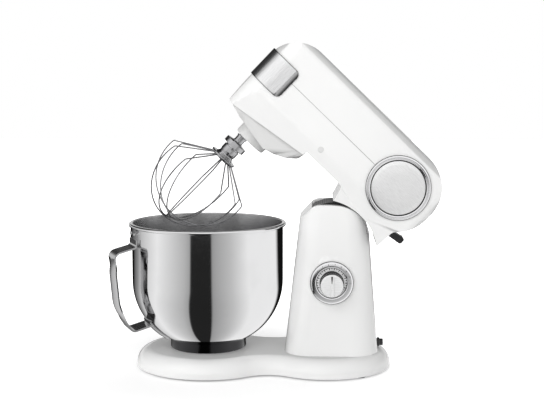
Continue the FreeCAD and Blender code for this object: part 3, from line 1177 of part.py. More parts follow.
def check_and_write():
    """Refuse a model with a failed object or a bad solid, then write each sub-part's file."""
    doc.recompute()
    for item in doc.Objects:
        if "Invalid" in item.State or "Error" in item.State:
            raise RuntimeError(f"{item.Name} failed: {item.State}")
    os.makedirs("parts", exist_ok=True)
    for label, item in nodes.items():
        shape = item.Shape
        if shape.isNull() or not shape.isValid() or not shape.Solids:
            raise RuntimeError(f"{label} has no valid solid")
        print(f"{label:20s} {len(shape.Solids):3d} solids {shape.Volume / 1000:9.2f} cm3")
        shape.exportStep(f"parts/{label}.step")


make_base()
make_bowl_seat()
make_column()
make_dial()
make_head_shells()
make_chassis()
make_gear_case()
make_motor()
make_layshaft()
make_planetary()
make_outlet()
make_nose_cap()
make_whisk()
make_lever()
make_bowl()
check_and_write()
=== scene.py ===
"""A stand mixer with its head tilted back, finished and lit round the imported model."""
import json
import math

import bmesh
import bpy
from mathutils import Matrix, Vector


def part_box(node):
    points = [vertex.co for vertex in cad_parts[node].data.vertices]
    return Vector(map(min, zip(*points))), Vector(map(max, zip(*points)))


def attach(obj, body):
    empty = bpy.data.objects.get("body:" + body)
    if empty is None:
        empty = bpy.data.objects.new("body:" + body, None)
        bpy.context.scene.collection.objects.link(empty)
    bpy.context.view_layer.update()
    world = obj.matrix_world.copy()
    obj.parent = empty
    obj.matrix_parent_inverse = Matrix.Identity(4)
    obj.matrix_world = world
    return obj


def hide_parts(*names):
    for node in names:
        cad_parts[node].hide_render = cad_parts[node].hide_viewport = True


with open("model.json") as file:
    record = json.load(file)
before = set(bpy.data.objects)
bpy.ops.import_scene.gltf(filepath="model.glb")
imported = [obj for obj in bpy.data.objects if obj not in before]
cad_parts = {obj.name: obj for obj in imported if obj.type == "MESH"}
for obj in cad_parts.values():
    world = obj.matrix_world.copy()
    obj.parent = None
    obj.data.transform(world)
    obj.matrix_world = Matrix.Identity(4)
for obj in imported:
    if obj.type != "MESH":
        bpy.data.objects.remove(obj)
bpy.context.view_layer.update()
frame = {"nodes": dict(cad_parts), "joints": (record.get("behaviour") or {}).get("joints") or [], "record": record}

MM = 0.001
WELD = 2e-6          # corners nearer than this are one corner
EVEN = (1, 1, 1)     # a pattern stretched no way
SCENE = bpy.context.scene


# ------------------------------------------------------------------------------------------------
# Shader maths
# ------------------------------------------------------------------------------------------------
class Reading:
    """A node's output that can be used in sums."""

    def __init__(self, sheet, socket):
        self.sheet = sheet
        self.socket = socket

    def reckon(self, operation, *values):
        return self.sheet.node("ShaderNodeMath", {"operation": operation},
                               dict(enumerate(values)))

    def __add__(self, other):
        return self.reckon("ADD", self, other)

    def __radd__(self, other):
        return self.reckon("ADD", other, self)

    def __sub__(self, other):
        return self.reckon("SUBTRACT", self, other)

    def __rsub__(self, other):
        return self.reckon("SUBTRACT", other, self)

    def __mul__(self, other):
        return self.reckon("MULTIPLY", self, other)

    def __rmul__(self, other):
        return self.reckon("MULTIPLY", other, self)

    def __truediv__(self, other):
        return self.reckon("DIVIDE", self, other)

    def __pow__(self, other):
        return self.reckon("POWER", self, other)

    def step(self, low, high, start=0.0, end=1.0):
        """Goes smoothly from start to end as the reading goes from low to high."""
        return self.sheet.node("ShaderNodeMapRange", {"interpolation_type": "SMOOTHSTEP"},
                               {"Value": self, "From Min": low, "From Max": high,
                                "To Min": start, "To Max": end})


class Sheet:
    """A node tree that is written a node at a time."""

    def __init__(self, tree):
        self.tree = tree

    def node(self, kind, settings=None, values=None, output=0):
        made = self.tree.nodes.new(kind)
        for name, value in (settings or {}).items():
            if name == "stops":
                self.set_stops(made.color_ramp.elements, value)
            else:
                setattr(made, name, value)
        for name, value in (values or {}).items():
            self.feed(made.inputs[name], value)
        return Reading(self, made.outputs[output])

    def set_stops(self, elements, stops):
        elements[0].position, elements[-1].position = stops[0][0], stops[-1][0]
        for place, _ in stops[1:-1]:
            elements.new(place)
        for element in elements:
            level = min(stops, key=lambda stop: abs(stop[0] - element.position))[1]
            element.color = (level, level, level, 1)

    def feed(self, socket, value):
        if isinstance(value, Reading):
            self.tree.links.new(value.socket, socket)
        else:
            socket.default_value = value

    def mix(self, share, first, second):
        """A colour between two colours."""
        return self.node("ShaderNodeMix", {"data_type": "RGBA"},
                         {0: share, 6: colour(first), 7: colour(second)}, output=2)

    def place(self, stretch=EVEN, turn=0.0):
        """Places on the object, turned back about Y by turn and then stretched."""
        spot = self.node("ShaderNodeTexCoord", output="Object")
        if turn:
            spot = self.node("ShaderNodeMapping", values={"Vector": spot,
                                                          "Rotation": (0, -turn, 0)})
        return self.node("ShaderNodeMapping", values={"Vector": spot, "Scale": stretch})

    def parts(self, vector):
        """The three numbers of a place."""
        split = self.tree.nodes.new("ShaderNodeSeparateXYZ")
        self.feed(split.inputs[0], vector)
        return [Reading(self, split.outputs[index]) for index in range(3)]

    def level_place(self):
        """Places on a head piece in metres, as they are with the head down."""
        spot = self.node("ShaderNodeTexCoord", output="Object")
        return self.parts(self.node("ShaderNodeMapping", values={
            "Vector": spot, "Rotation": LEVEL.to_euler(), "Location": LEVEL.to_translation()}))

    def studio_place(self, kind):
        """Places or directions, turned so that the studio stands square to the camera at rest."""
        spot = self.node("ShaderNodeTexCoord", output=kind)
        return self.parts(self.node("ShaderNodeMapping", values={
            "Vector": spot, "Rotation": (0, 0, -CAMERA_SIDE)}))

    def angle(self, first, second):
        """The angle whose tangent is first over second."""
        return self.node("ShaderNodeMath", {"operation": "ARCTAN2"}, {0: first, 1: second})

    def bearing(self, across, deep):
        """A direction seen from above: 0 and 1 behind, 0.25 left, 0.5 in front, 0.75 right."""
        return self.angle(across, 0 - deep) / (2 * math.pi) + 0.5

    def ramp(self, value, stops):
        """A brightness that follows a value through stops, each (value, brightness)."""
        return self.node("ShaderNodeValToRGB", {"stops": stops}, {0: value})

    def rays(self):
        """One for a ray from the camera, and one for a ray that a glossy surface sends."""
        path = self.tree.nodes.new("ShaderNodeLightPath")
        return [Reading(self, path.outputs[name]) for name in ("Is Camera Ray", "Is Glossy Ray")]

    def noise(self, scale, detail=3.0, stretch=EVEN, turn=0.0, rough=0.5):
        return self.node("ShaderNodeTexNoise", values={
            "Vector": self.place(stretch, turn), "Scale": scale, "Detail": detail,
            "Roughness": rough})


def colour(value):
    """Three numbers as an opaque colour, and anything else as it is."""
    return (*value, 1) if isinstance(value, tuple) and len(value) == 3 else value


class Finish(Sheet):
    """A material with one principled shader."""

    def __init__(self, name, **constants):
        self.material = bpy.data.materials.new(name)
        self.material.use_nodes = True
        super().__init__(self.material.node_tree)
        self.shader = self.tree.nodes["Principled BSDF"]
        for socket, value in constants.items():
            self.shader.inputs[socket.replace("_", " ")].default_value = colour(value)

    def give(self, **values):
        for socket, value in values.items():
            self.feed(self.shader.inputs[socket.replace("_", " ")], colour(value))
        return self

    def relief(self, height, depth):
        """Raises the surface by depth millimetres where height is one."""
        bump = self.node("ShaderNodeBump", values={"Height": height, "Distance": depth * MM,
                                                   "Strength": 1.0})
        self.feed(self.shader.inputs["Normal"], bump)
        return self


# ------------------------------------------------------------------------------------------------
# Places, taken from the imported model
# ------------------------------------------------------------------------------------------------
TILT = next(item for item in frame["joints"] if item["name"] == "head_tilt")
PIVOT = Vector(TILT["pos_m"])
OPEN_ANGLE = -math.radians(min(TILT["range_deg"]))
OPENING = Matrix.Rotation(OPEN_ANGLE, 4, "Y")
OPEN = Matrix.Translation(PIVOT) @ OPENING @ Matrix.Translation(-PIVOT)      # head down to open
LEVEL = OPEN.inverted()                                                      # head open to down

SLOT_OF = {item["node"]: item["material_slot"] for item in frame["record"]["subparts"]}
BODY_OF = {name: body for body, names in frame["record"]["behaviour"]["bodies"].items()
           for name in names}


def level_box(node):
    """A head node's lowest and highest corners with the head down, in millimetres."""
    corners = [LEVEL @ vertex.co for vertex in frame["nodes"][node].data.vertices]
    return [Vector([pick(corner[axis] for corner in corners) / MM for axis in range(3)])
            for pick in (min, max)]


def rest_box(node):
    """A node's lowest and highest corners at rest, in millimetres."""
    low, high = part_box(node)
    return low / MM, high / MM


# ------------------------------------------------------------------------------------------------
# Shapes
# ------------------------------------------------------------------------------------------------
BROAD = 15 * MM      # a rounding wider than this is drawn in finer steps


def everything(shape):
    return shape.verts[:] + shape.edges[:] + shape.faces[:]


def run(line, tip, here):
    """Draws on from tip to here and gives the new tip."""
    if (here - tip.co).length < WELD:
        return tip
    new = bmesh.ops.extrude_vert_indiv(line, verts=[tip])["verts"][0]
    bmesh.ops.translate(line, verts=[new], vec=here - tip.co)
    return new


def arc_steps(turn, rounding):
    """How many straight runs an arc takes: 3 degrees each if it is broad, otherwise 15."""
    degrees = 3 if rounding > BROAD else 15
    return max(math.ceil(turn / math.radians(degrees)), 2)


def drawn(corners):
    """A line in the XZ plane through corners: (across, up) or (across, up, rounding), in mm."""
    line = bmesh.new()
    points = [Vector((corner[0], 0, corner[1])) * MM for corner in corners]
    tip = bmesh.ops.create_vert(line, co=points[0])["vert"][0]
    for index in range(1, len(corners)):
        here = points[index]
        if len(corners[index]) == 2:
            tip = run(line, tip, here)
            continue
        back = (points[index - 1] - here).normalized()
        ahead = (points[index + 1] - here).normalized()
        half = back.angle(ahead) / 2
        rounding = corners[index][2] * MM
        tip = run(line, tip, here + back * rounding / math.tan(half))
        centre = here + (back + ahead).normalized() * rounding / math.sin(half)
        turn = math.pi - 2 * half
        arc = bmesh.ops.spin(line, geom=[tip], cent=centre, axis=ahead.cross(back).normalized(),
                             angle=turn, steps=arc_steps(turn, rounding))
        tip = arc["geom_last"][0]
    return line


def turned(corners, segments=96, ring=False):
    """A body turned about Z from a profile; a ring's profile ends where it starts."""
    shape = drawn(corners + corners[:1] if ring else corners)
    bmesh.ops.remove_doubles(shape, verts=shape.verts, dist=WELD)
    bmesh.ops.spin(shape, geom=everything(shape), cent=(0, 0, 0), axis=(0, 0, 1),
                   angle=2 * math.pi, steps=segments, use_merge=True)
    bmesh.ops.remove_doubles(shape, verts=shape.verts, dist=WELD)
    bmesh.ops.recalc_face_normals(shape, faces=shape.faces)
    return shape


def band(inside, outside, low, high, segments):
    """A ring with square edges, from radius to radius and from height to height."""
    return turned([(inside, low), (outside, low), (outside, high), (inside, high)], segments,
                  ring=True)


def block(low, high, rounding=0.0, segments=2):
    """A box between two corners in millimetres with its edges rounded."""
    shape = bmesh.new()
    middle = (Vector(low) + Vector(high)) / 2 * MM
    size = (Vector(high) - Vector(low)) * MM
    bmesh.ops.create_cube(shape, size=1, matrix=Matrix.Translation(middle) @ Matrix.Diagonal(
        (*size, 1)))
    if rounding:
        bmesh.ops.bevel(shape, geom=shape.edges[:], offset=rounding * MM, offset_type="OFFSET",
                        segments=segments, profile=0.5, affect="EDGES", material=-1)
    return shape


def merged(node):
    """A copy of a node's own shape with its loose triangles joined."""
    shape = bmesh.new()
    shape.from_mesh(frame["nodes"][node].data)
    bmesh.ops.remove_doubles(shape, verts=shape.verts, dist=WELD)
    return shape


def mesh_of(name, shape):
    """A mesh with a shape, which is used up."""
    mesh = bpy.data.meshes.new(name)
    shape.to_mesh(mesh)
    shape.free()
    return mesh


def put(name, data):
    """A new object in the scene."""
    made = bpy.data.objects.new(name, data)
    SCENE.collection.objects.link(made)
    return made


def joined(*shapes):
    """Several shapes as one."""
    whole = shapes[0]
    for shape in shapes[1:]:
        part = mesh_of("part", shape)
        whole.from_mesh(part)
        bpy.data.meshes.remove(part)
    return whole


def trimmed(shape, spot, away):
    """Cuts off what lies beyond a plane through a spot in millimetres."""
    bmesh.ops.bisect_plane(shape, geom=everything(shape), plane_co=Vector(spot) * MM,
                           plane_no=away, clear_outer=True)


def moved(shape, place):
    bmesh.ops.transform(shape, matrix=place, verts=shape.verts)
    return shape


def at(x, y, z):
    return Matrix.Translation(Vector((x, y, z)) * MM)


FACING = Matrix.Rotation(math.radians(90), 4, "X")        # turns Z to face the front
BACKING = Matrix.Rotation(math.radians(-90), 4, "X")


def piece(name, shape, finish, body, replaced=(), sharp=35):
    """A finished piece that rides on a body and stands for some of its nodes."""
    mesh = mesh_of(name, shape)
    mesh.shade_smooth()
    mesh.set_sharp_from_angle(angle=math.radians(sharp))
    mesh.materials.append(FINISHES[finish].material)
    made = put(name, mesh)
    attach(made, body)
    if replaced:
        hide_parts(*replaced)
    return made


def eased(made, width):
    """Rounds the sharp edges of a finished piece."""
    ease = made.modifiers.new("eased_edges", "BEVEL")
    ease.width = width * MM
    ease.segments = 2
    ease.limit_method = "ANGLE"
    ease.angle_limit = math.radians(40)
    ease.harden_normals = True


def thickened(made, thick, edge):
    """Gives a sheet its thickness, half to each side, and rounds its edges."""
    wall = made.modifiers.new("wall", "SOLIDIFY")
    wall.thickness = thick * MM
    wall.offset = 0.0
    eased(made, edge)


def smoothed(node, finish, sharp=30, edge=0.0):
    """A node's own shape as one joined skin, so that its rounds shade as rounds."""
    shape = merged(node)
    bmesh.ops.dissolve_degenerate(shape, edges=shape.edges, dist=WELD)
    made = piece(node + "_skin", shape, finish, BODY_OF[node], (node,), sharp)
    if edge:
        eased(made, edge)
    weigh = made.modifiers.new("even_shading", "WEIGHTED_NORMAL")
    weigh.keep_sharp = True
    weigh.weight = 90


# ------------------------------------------------------------------------------------------------
# Finishes. A noise's scale is about its grains to a metre; a relief's depth is in millimetres.
# ------------------------------------------------------------------------------------------------
def dimmed(tint, share):
    return tuple(level * share for level in tint)


def painted(name, tint, rough):
    """Sprayed gloss enamel: a faint orange peel, and a little unevenness in colour and gloss."""
    made = Finish(name, IOR=1.5, Coat_Roughness=0.04, Coat_IOR=1.5, Coat_Weight=0.35)
    cloud = made.noise(9, 4)
    speck = made.noise(420, 2)
    made.give(Base_Color=made.mix(cloud.step(0.3, 0.7), tint, dimmed(tint, 0.97)),
              Roughness=rough + 0.05 * cloud + 0.03 * speck)
    return made.relief(made.noise(260), 0.012)


def brushed(name, tint, rough, stretch=EVEN, turn=0.0, depth=0.01):
    """Bare metal with fine scratches all one way, along the axis where stretch is smallest."""
    made = Finish(name, Metallic=1.0)
    fine = made.noise(900, 4, stretch, turn, 0.65)
    broad = made.noise(120, 3, stretch, turn)
    worn = made.noise(14)
    made.give(Base_Color=made.mix(broad.step(0.3, 0.75), tint, dimmed(tint, 0.82)),
              Roughness=rough + 0.12 * (fine - 0.5) + 0.06 * worn)
    return made.relief(fine * 0.7 + broad * 0.3, depth)


def mirror(name, tint, rough, stretch=EVEN):
    """Polished metal: hairline polishing marks and a few clouded places."""
    made = Finish(name, Metallic=1.0)
    hairs = made.noise(700, 3, stretch, rough=0.6)
    cloud = made.noise(16)
    made.give(Base_Color=made.mix(cloud.step(0.4, 0.7), tint, dimmed(tint, 0.95)),
              Roughness=rough + 0.03 * hairs.step(0.5, 0.75) + 0.03 * cloud)
    return made.relief(hairs, 0.0001)


def cap_finish():
    """Steel brushed up and down, nearly black at its back, top and bottom edges, dark in front; the
    dark edges are painted reflection.
    """
    made = Finish("brushed_cap_steel", Metallic=1.0)
    low, high = level_box("nose_cap")
    across, _, up = made.level_place()
    scratches = (22, 22, 1)
    fine = made.noise(900, 4, scratches, OPEN_ANGLE, 0.65)
    broad = made.noise(90, 3, scratches, OPEN_ANGLE)
    from_front = across - low.x * MM
    from_back = high.x * MM - across
    from_bottom = up - low.z * MM
    from_top = high.z * MM - up
    # Painted reflection: the share of plain steel, falling to nearly black at the back, top and bottom edges and
    # to 0.35 at the front.
    bright = (from_back.step(0.0005, 0.0065) * from_bottom.step(-0.0005, 0.002)
              * from_top.step(-0.0005, 0.002) * from_front.step(-0.002, 0.01, 0.35, 1.0))
    steel = made.mix(broad.step(0.25, 0.8), (0.97, 0.97, 0.975), (0.82, 0.82, 0.825))
    made.give(Base_Color=made.mix(bright, (0.05, 0.05, 0.051), steel),
              Roughness=0.24 + 0.12 * (fine - 0.5))
    return made.relief(from_back.step(0, 0.008) + 0.006 * fine + 0.003 * broad, 1.5)


def ribbed(name, tint, rough):
    """Moulded nylon with fine ribs along the hinge's barrel, 110 to the turn, the grooves
    painted darker as painted shade.
    """
    made = Finish(name, IOR=1.46)
    across, _, up = made.parts(made.node("ShaderNodeTexCoord", output="Object"))
    angle = made.angle(up - PIVOT.z, across - PIVOT.x)
    rib = made.node("ShaderNodeMath", {"operation": "SINE"}, {0: angle * 110.0})
    grains = made.noise(700, 4)
    # Painted shade: the grooves between the ribs are coloured darker than the rib tops.
    made.give(Base_Color=made.mix(rib.step(-0.9, 0.9), (0.008, 0.008, 0.008), tint),
              Roughness=rough + 0.12 * (grains - 0.5))
    return made.relief(rib * 0.5 + 0.05 * grains, 0.5)


def plastic(name, tint, rough, grain=700, depth=0.02):
    """Moulded plastic or rubber with a fine spark-eroded grain."""
    made = Finish(name, IOR=1.46)
    grains = made.noise(grain, 4)
    cloud = made.noise(22)
    paler = tuple(level * 1.25 + 0.004 for level in tint)
    made.give(Base_Color=made.mix(cloud.step(0.35, 0.7), tint, paler),
              Roughness=rough + 0.12 * (grains - 0.5) + 0.06 * cloud)
    return made.relief(grains, depth)


def machined(name, tint, rough):
    """Turned or ground metal: rings of tool marks and a slight tarnish."""
    made = Finish(name, Metallic=1.0)
    marks = made.noise(260, 3, (1, 1, 14))
    tarnish = made.noise(40, 4)
    made.give(Base_Color=made.mix(tarnish.step(0.35, 0.8), tint, dimmed(tint, 0.7)),
              Roughness=rough + 0.12 * marks + 0.1 * tarnish)
    return made.relief(marks, 0.01)


def layered(name, tint, gap):
    """Stacked iron sheets with varnish between them."""
    made = Finish(name, Metallic=0.8)
    sheets = made.node("ShaderNodeTexWave", {"wave_type": "BANDS", "bands_direction": "Y"},
                       {"Vector": made.place(), "Scale": 320.0, "Distortion": 0.6,
                        "Detail": 2.0})
    made.give(Base_Color=made.mix(sheets, gap, tint), Roughness=0.35 + 0.3 * (1 - sheets))
    return made.relief(sheets, 0.05)


def board(name):
    """A printed circuit board: copper tracks under a green mask."""
    made = Finish(name, IOR=1.5)
    tracks = made.node("ShaderNodeTexVoronoi", {"feature": "DISTANCE_TO_EDGE"},
                       {"Vector": made.place(), "Scale": 190.0}).step(0.05, 0.12)
    made.give(Base_Color=made.mix(tracks, (0.09, 0.32, 0.12), (0.02, 0.15, 0.05)),
              Roughness=0.3 + 0.25 * tracks)
    return made.relief(1 - tracks, 0.04)


def make_finishes():
    """Every finish, under its slot's name or, for a second finish in a slot, under its own."""
    return {
        "white_cast": painted("white_enamel", (0.9, 0.9, 0.895), 0.16),
        "grey_cast": painted("pale_grey_enamel", (0.72, 0.72, 0.715), 0.3),
        "bare_alloy": brushed("spun_alloy", (0.8, 0.8, 0.8), 0.16, depth=0.002),
        "bowl_steel": mirror("polished_steel", (0.8, 0.8, 0.805), 0.05, (1, 1, 22)),
        "bowl_inside": brushed("brushed_bowl_inside", (0.66, 0.66, 0.665), 0.2, (1, 1, 14),
                               depth=0.004),
        "whisk_wire": brushed("drawn_wire", (0.42, 0.42, 0.43), 0.16, depth=0.003),
        "cap_steel": cap_finish(),
        "drum_black": ribbed("hinge_nylon", (0.02, 0.02, 0.021), 0.34),
        "chrome": mirror("chrome_plate", (0.84, 0.84, 0.85), 0.04),
        "brushed_disc": brushed("satin_disc", (0.95, 0.95, 0.95), 0.32, (1, 1, 30),
                                OPEN_ANGLE).give(Metallic=0.5),
        "dial_disc": brushed("satin_dial", (0.95, 0.95, 0.95), 0.4,
                             (1, 30, 30)).give(Metallic=0.3),
        "handle_steel": mirror("pressed_strap_steel", (0.62, 0.62, 0.625), 0.12, (1, 1, 14)),
        "dial_chrome": mirror("dial_chrome", (0.86, 0.86, 0.87), 0.12),
        "dark_steel": brushed("dark_cast_steel", (0.52, 0.52, 0.53), 0.1, depth=0.004),
        # Polished steel with a nearly black tint.
        "foot_steel": mirror("nearly_black_foot_steel", (0.05, 0.05, 0.052), 0.14),
        "steel": machined("ground_steel", (0.6, 0.6, 0.61), 0.22),
        "bronze": machined("oiled_bronze", (0.6, 0.38, 0.18), 0.35),
        "zinc_screw": machined("zinc_plate", (0.62, 0.62, 0.58), 0.3),
        "black_plastic": plastic("black_nylon", (0.015, 0.015, 0.016), 0.36),
        "dark_gloss": plastic("knob_black", (0.012, 0.012, 0.013), 0.2, 500, 0.006),
        "scale_grey": brushed("scale_silver", (0.9, 0.9, 0.905), 0.36,
                              depth=0.003).give(Metallic=0.2),
        "gear_plastic": plastic("gear_acetal", (0.72, 0.70, 0.62), 0.38),
        "board_green": board("circuit_board"),
        "laminations": layered("iron_sheets", (0.42, 0.42, 0.43), (0.16, 0.08, 0.04)),
        "belt_rubber": plastic("belt_rubber", (0.012, 0.012, 0.012), 0.62, 300, 0.06),
        "foot_rubber": plastic("foot_rubber", (0.02, 0.02, 0.02), 0.7, 300, 0.06),
        # Gaskets, and also the head's seam strip, whose grey is painted shadow.
        "gasket": plastic("gasket_and_seam_shadow_grey", (0.4, 0.4, 0.4), 0.6, 300, 0.01),
        # Printed marks, and also the black bands that paint shadow in the badge and dial gaps.
        "print_black": plastic("print_and_painted_shadow_black", (0.01, 0.01, 0.01), 0.5, 900, 0.004),
    }


FINISHES = make_finishes()


def finish_nodes():
    """Gives every carried-over node the finish of its own slot."""
    for name, made in frame["nodes"].items():
        made.data.materials.clear()
        made.data.materials.append(FINISHES[SLOT_OF[name]].material)


finish_nodes()


# ------------------------------------------------------------------------------------------------
# Room, lamps and camera, in metres
# ------------------------------------------------------------------------------------------------
CAMERA_SIDE = math.radians(2.5)       # to the right of straight in front
CAMERA_DOWN = math.radians(6.37)
CAMERA_SPOT = Vector((0.091, 0, 0))    # on the table; the next two are measured from it
CAMERA_REACH = 1.544
CAMERA_HEIGHT = 0.40265
LAMP_AIM = Vector((0.09, 0, 0.2))
CLOTH = (0.9, 0.9, 0.9)

# How bright the slit and the flags between the cloths are, close to the mixer and far from it
NEAR_GAPS = {"slit": 0.02, "flag": 0.006}
FAR_GAPS = {"slit": 0.85, "flag": 0.7}


def tent(sheet, across, deep, slit, flag):
    """How bright the studio is in each direction: white cloths, with a slit between them in
    front and a flag behind them on each side."""
    stops = [(0.0, flag), (0.104, flag), (0.118, max(flag, 0.12)), (0.16, max(flag, 0.32)),
             (0.19, max(flag, 0.62)), (0.292, 1.0), (0.417, 0.55), (0.438, 0.42), (0.442, slit),
             (0.521, slit), (0.525, 0.36), (0.536, 0.42), (0.6, 0.62), (0.675, 1.0), (0.842, 1.0),
             (0.868, flag), (1.0, flag)]
    return sheet.ramp(sheet.bearing(across, deep), stops)


def ceiling(sheet, across, deep):
    """How bright the studio's upper part is: white in front, and open and dark behind."""
    stops = [(0.0, 0.03), (0.2, 0.05), (0.32, 1.0), (0.72, 1.0), (0.86, 0.1), (1.0, 0.03)]
    return sheet.ramp(sheet.bearing(across, deep), stops)


def make_world():
    """White for the camera, the studio for gloss, and a glow, weaker from above, for the rest."""
    world = bpy.data.worlds.new("tent")
    SCENE.world = world
    world.use_nodes = True
    sheet = Sheet(world.node_tree)
    sheet.tree.nodes.clear()
    across, deep, up = sheet.studio_place("Generated")
    cloth = sheet.mix(up.step(0.1, 0.25), tent(sheet, across, deep, **FAR_GAPS),
                      ceiling(sheet, across, deep))
    camera, glossy = sheet.rays()
    glow = sheet.mix(up.step(0.05, 0.95), (0.7, 0.7, 0.7), (0.4, 0.4, 0.4))
    light = sheet.mix(glossy, glow, cloth)
    shown = sheet.mix(camera, light, (1.0, 1.0, 1.0))
    back = sheet.node("ShaderNodeBackground", values={"Color": shown, "Strength": 1.0})
    end = sheet.tree.nodes.new("ShaderNodeOutputWorld")
    sheet.tree.links.new(back.socket, end.inputs["Surface"])


def make_floor():
    """A pale sweep that shows white far off and keeps the mixer's own shadow; in gloss, the
    foot of the studio, with its dark gaps close to the mixer only."""
    shape = bmesh.new()
    bmesh.ops.create_grid(shape, x_segments=2, y_segments=2, size=6.0)
    floor = put("floor", mesh_of("floor", shape))
    made = Finish("floor_paper", Roughness=0.9, Specular_IOR_Level=0.1)
    camera, glossy = made.rays()
    grain = made.noise(60, 4)
    across, deep, _ = made.studio_place("Object")
    away = (across * across + deep * deep) ** 0.5
    cloth = made.mix(away.step(0.02, 0.03), CLOTH, tent(made, across, deep, **NEAR_GAPS))
    cloth = made.mix(away.step(1.7, 2.3), cloth, tent(made, across, deep, **FAR_GAPS))
    made.give(Base_Color=made.mix(grain, CLOTH, (0.87, 0.87, 0.87)))
    glow = made.node("ShaderNodeEmission", values={"Color": cloth, "Strength": 1.0})
    fade = away.step(0.16, 0.5, 0.3, 1.0)            # weaker by the mixer, to show its shadow
    white = made.node("ShaderNodeEmission", values={"Strength": camera * fade})
    shown = made.node("ShaderNodeAddShader", values={0: Reading(made, made.shader.outputs[0]),
                                                     1: white})
    mixed = made.node("ShaderNodeMixShader", values={0: glossy, 1: shown, 2: glow})
    made.tree.links.new(mixed.socket, made.tree.nodes["Material Output"].inputs["Surface"])
    floor.data.materials.append(made.material)


def make_lamp(name, spot, width, watts):
    """A square soft lamp that shows in no reflection."""
    light = bpy.data.lights.new(name, "AREA")
    light.shape = "RECTANGLE"
    light.size = light.size_y = width
    light.energy = watts
    lamp = put(name, light)
    lamp.location = spot
    lamp.rotation_euler = (LAMP_AIM - Vector(spot)).to_track_quat("-Z", "Y").to_euler()
    lamp.visible_glossy = False


def make_camera():
    data = bpy.data.cameras.new("camera")
    data.sensor_width = 36
    data.lens = 73.06
    data.clip_start, data.clip_end = 0.05, 50
    camera = put("camera", data)
    camera.location = CAMERA_SPOT + Vector((
        CAMERA_REACH * math.sin(CAMERA_SIDE), -CAMERA_REACH * math.cos(CAMERA_SIDE),
        CAMERA_HEIGHT))
    look = Vector((-math.sin(CAMERA_SIDE) * math.cos(CAMERA_DOWN),
                   math.cos(CAMERA_SIDE) * math.cos(CAMERA_DOWN), -math.sin(CAMERA_DOWN)))
    camera.rotation_euler = look.to_track_quat("-Z", "Y").to_euler()
    SCENE.camera = camera


SCENE.view_settings.view_transform = "Standard"
make_world()
make_floor()
make_lamp("key", (-0.5, -1.8, 1.2), 1.6, 23)
make_lamp("fill", (0.7, 1.9, 1.1), 1.6, 15)
make_lamp("side", (-1.9, -0.1, 0.9), 1.4, 6)
make_camera()


# ------------------------------------------------------------------------------------------------
# Painted castings
# ------------------------------------------------------------------------------------------------
for node in ("base_casting", "column_shell", "head_lower_shell", "head_top_cover"):
    smoothed(node, "white_cast")
for node in ("planetary_hub", "gearbox_housing", "side_plugs"):
    smoothed(node, "grey_cast")


def make_seam():
    """A grey strip, painted shadow, that shows as a fine line in the seam between the head's two
    shells: the lower shell's top edge, ahead of the badges and a little proud of the head."""
    height = 0.9
    proud = (1.0008, 1.0016, 1)
    shape = moved(merged("head_lower_shell"), LEVEL)
    bottom = level_box("head_top_cover")[0].z - height
    cut = bmesh.ops.bisect_plane(shape, geom=everything(shape), plane_co=(0, 0, bottom * MM),
                                 plane_no=(0, 0, 1), clear_inner=True)
    bmesh.ops.holes_fill(shape, edges=[part for part in cut["geom_cut"]
                                       if isinstance(part, bmesh.types.BMEdge)])
    trimmed(shape, level_box("medallion_rings")[0], (1, 0, 0))
    bmesh.ops.scale(shape, verts=shape.verts, vec=proud, space=at(-90, 0, 0))
    # The strip is painted shadow: a grey band where the seam's gap would be dark.
    piece("head_seam_shadow_strip", moved(shape, OPEN), "gasket", "head")


make_seam()


# ------------------------------------------------------------------------------------------------
# Bowl, in millimetres
# ------------------------------------------------------------------------------------------------
BOWL_FLAT = 45.2                      # radius of the flat bottom
BOWL_LEAN = math.radians(28.8)        # of the cone above the flat
BOWL_CURVE = 92.0                     # rounding between the cone and the upright wall
RIM_REACH = 4.5                       # of the rolled rim beyond the wall
STRAP = 2.4
STRAP_WIDTH = 35.0


def bowl_knee(bottom, radius):
    """The height at which the cone, drawn on, would meet the upright wall."""
    return bottom + (radius - BOWL_FLAT) * math.tan(BOWL_LEAN)


def knee_offset(wall):
    """How far the knee rises on a wall that lies as far inside, or falls on one outside."""
    return wall * (1 - math.sin(BOWL_LEAN)) / math.cos(BOWL_LEAN)


def make_bowl():
    """A spun steel bowl: flat bottom, cone, round, upright wall and a rolled rim."""
    low, high = rest_box("bowl_shell")
    rim, bottom, outer = high.z, low.z, high.x
    wall, roll = 1.2, 2.1
    radius = outer - RIM_REACH
    knee = bowl_knee(bottom, radius)
    shape = turned([
        (0, bottom), (BOWL_FLAT, bottom, 6), (radius, knee, BOWL_CURVE),
        (radius, rim - 2 * roll - 0.6), (outer, rim - 2 * roll - 0.6, roll), (outer, rim, roll),
        (radius - wall, rim, 0.9), (radius - wall, knee + knee_offset(wall), BOWL_CURVE - wall),
        (BOWL_FLAT - wall * math.tan(BOWL_LEAN / 2), bottom + wall, 6), (0, bottom + wall)], 160)
    for face in shape.faces:                         # the inside is brushed, up to the rim
        middle = face.calc_center_median()
        outward = face.normal.dot(Vector((middle.x, middle.y, 0)).normalized())
        inner = outward < -0.01 or (face.normal.z > 0.5 and middle.xy.length < (radius - 3) * MM)
        face.material_index = 1 if inner and middle.z < (rim - wall) * MM else 0
    bowl = piece("mixing_bowl", shape, "bowl_steel", "bowl", ("bowl_shell",), sharp=50)
    bowl.data.materials.append(FINISHES["bowl_inside"].material)


def make_foot_ring():
    """The ring that the bowl stands on, its top sloping up outwards under the bowl's cone."""
    low, high = rest_box("bowl_foot_ring")
    outer = high.x
    inner = outer - 3
    shape = turned([(inner, low.z + 1), (inner, low.z, 0.5), (outer, low.z, 0.8),
                    (outer, high.z), (inner, high.z - 1.4), (inner, low.z + 1)], 128)
    piece("foot_ring", shape, "foot_steel", "bowl", ("bowl_foot_ring",))


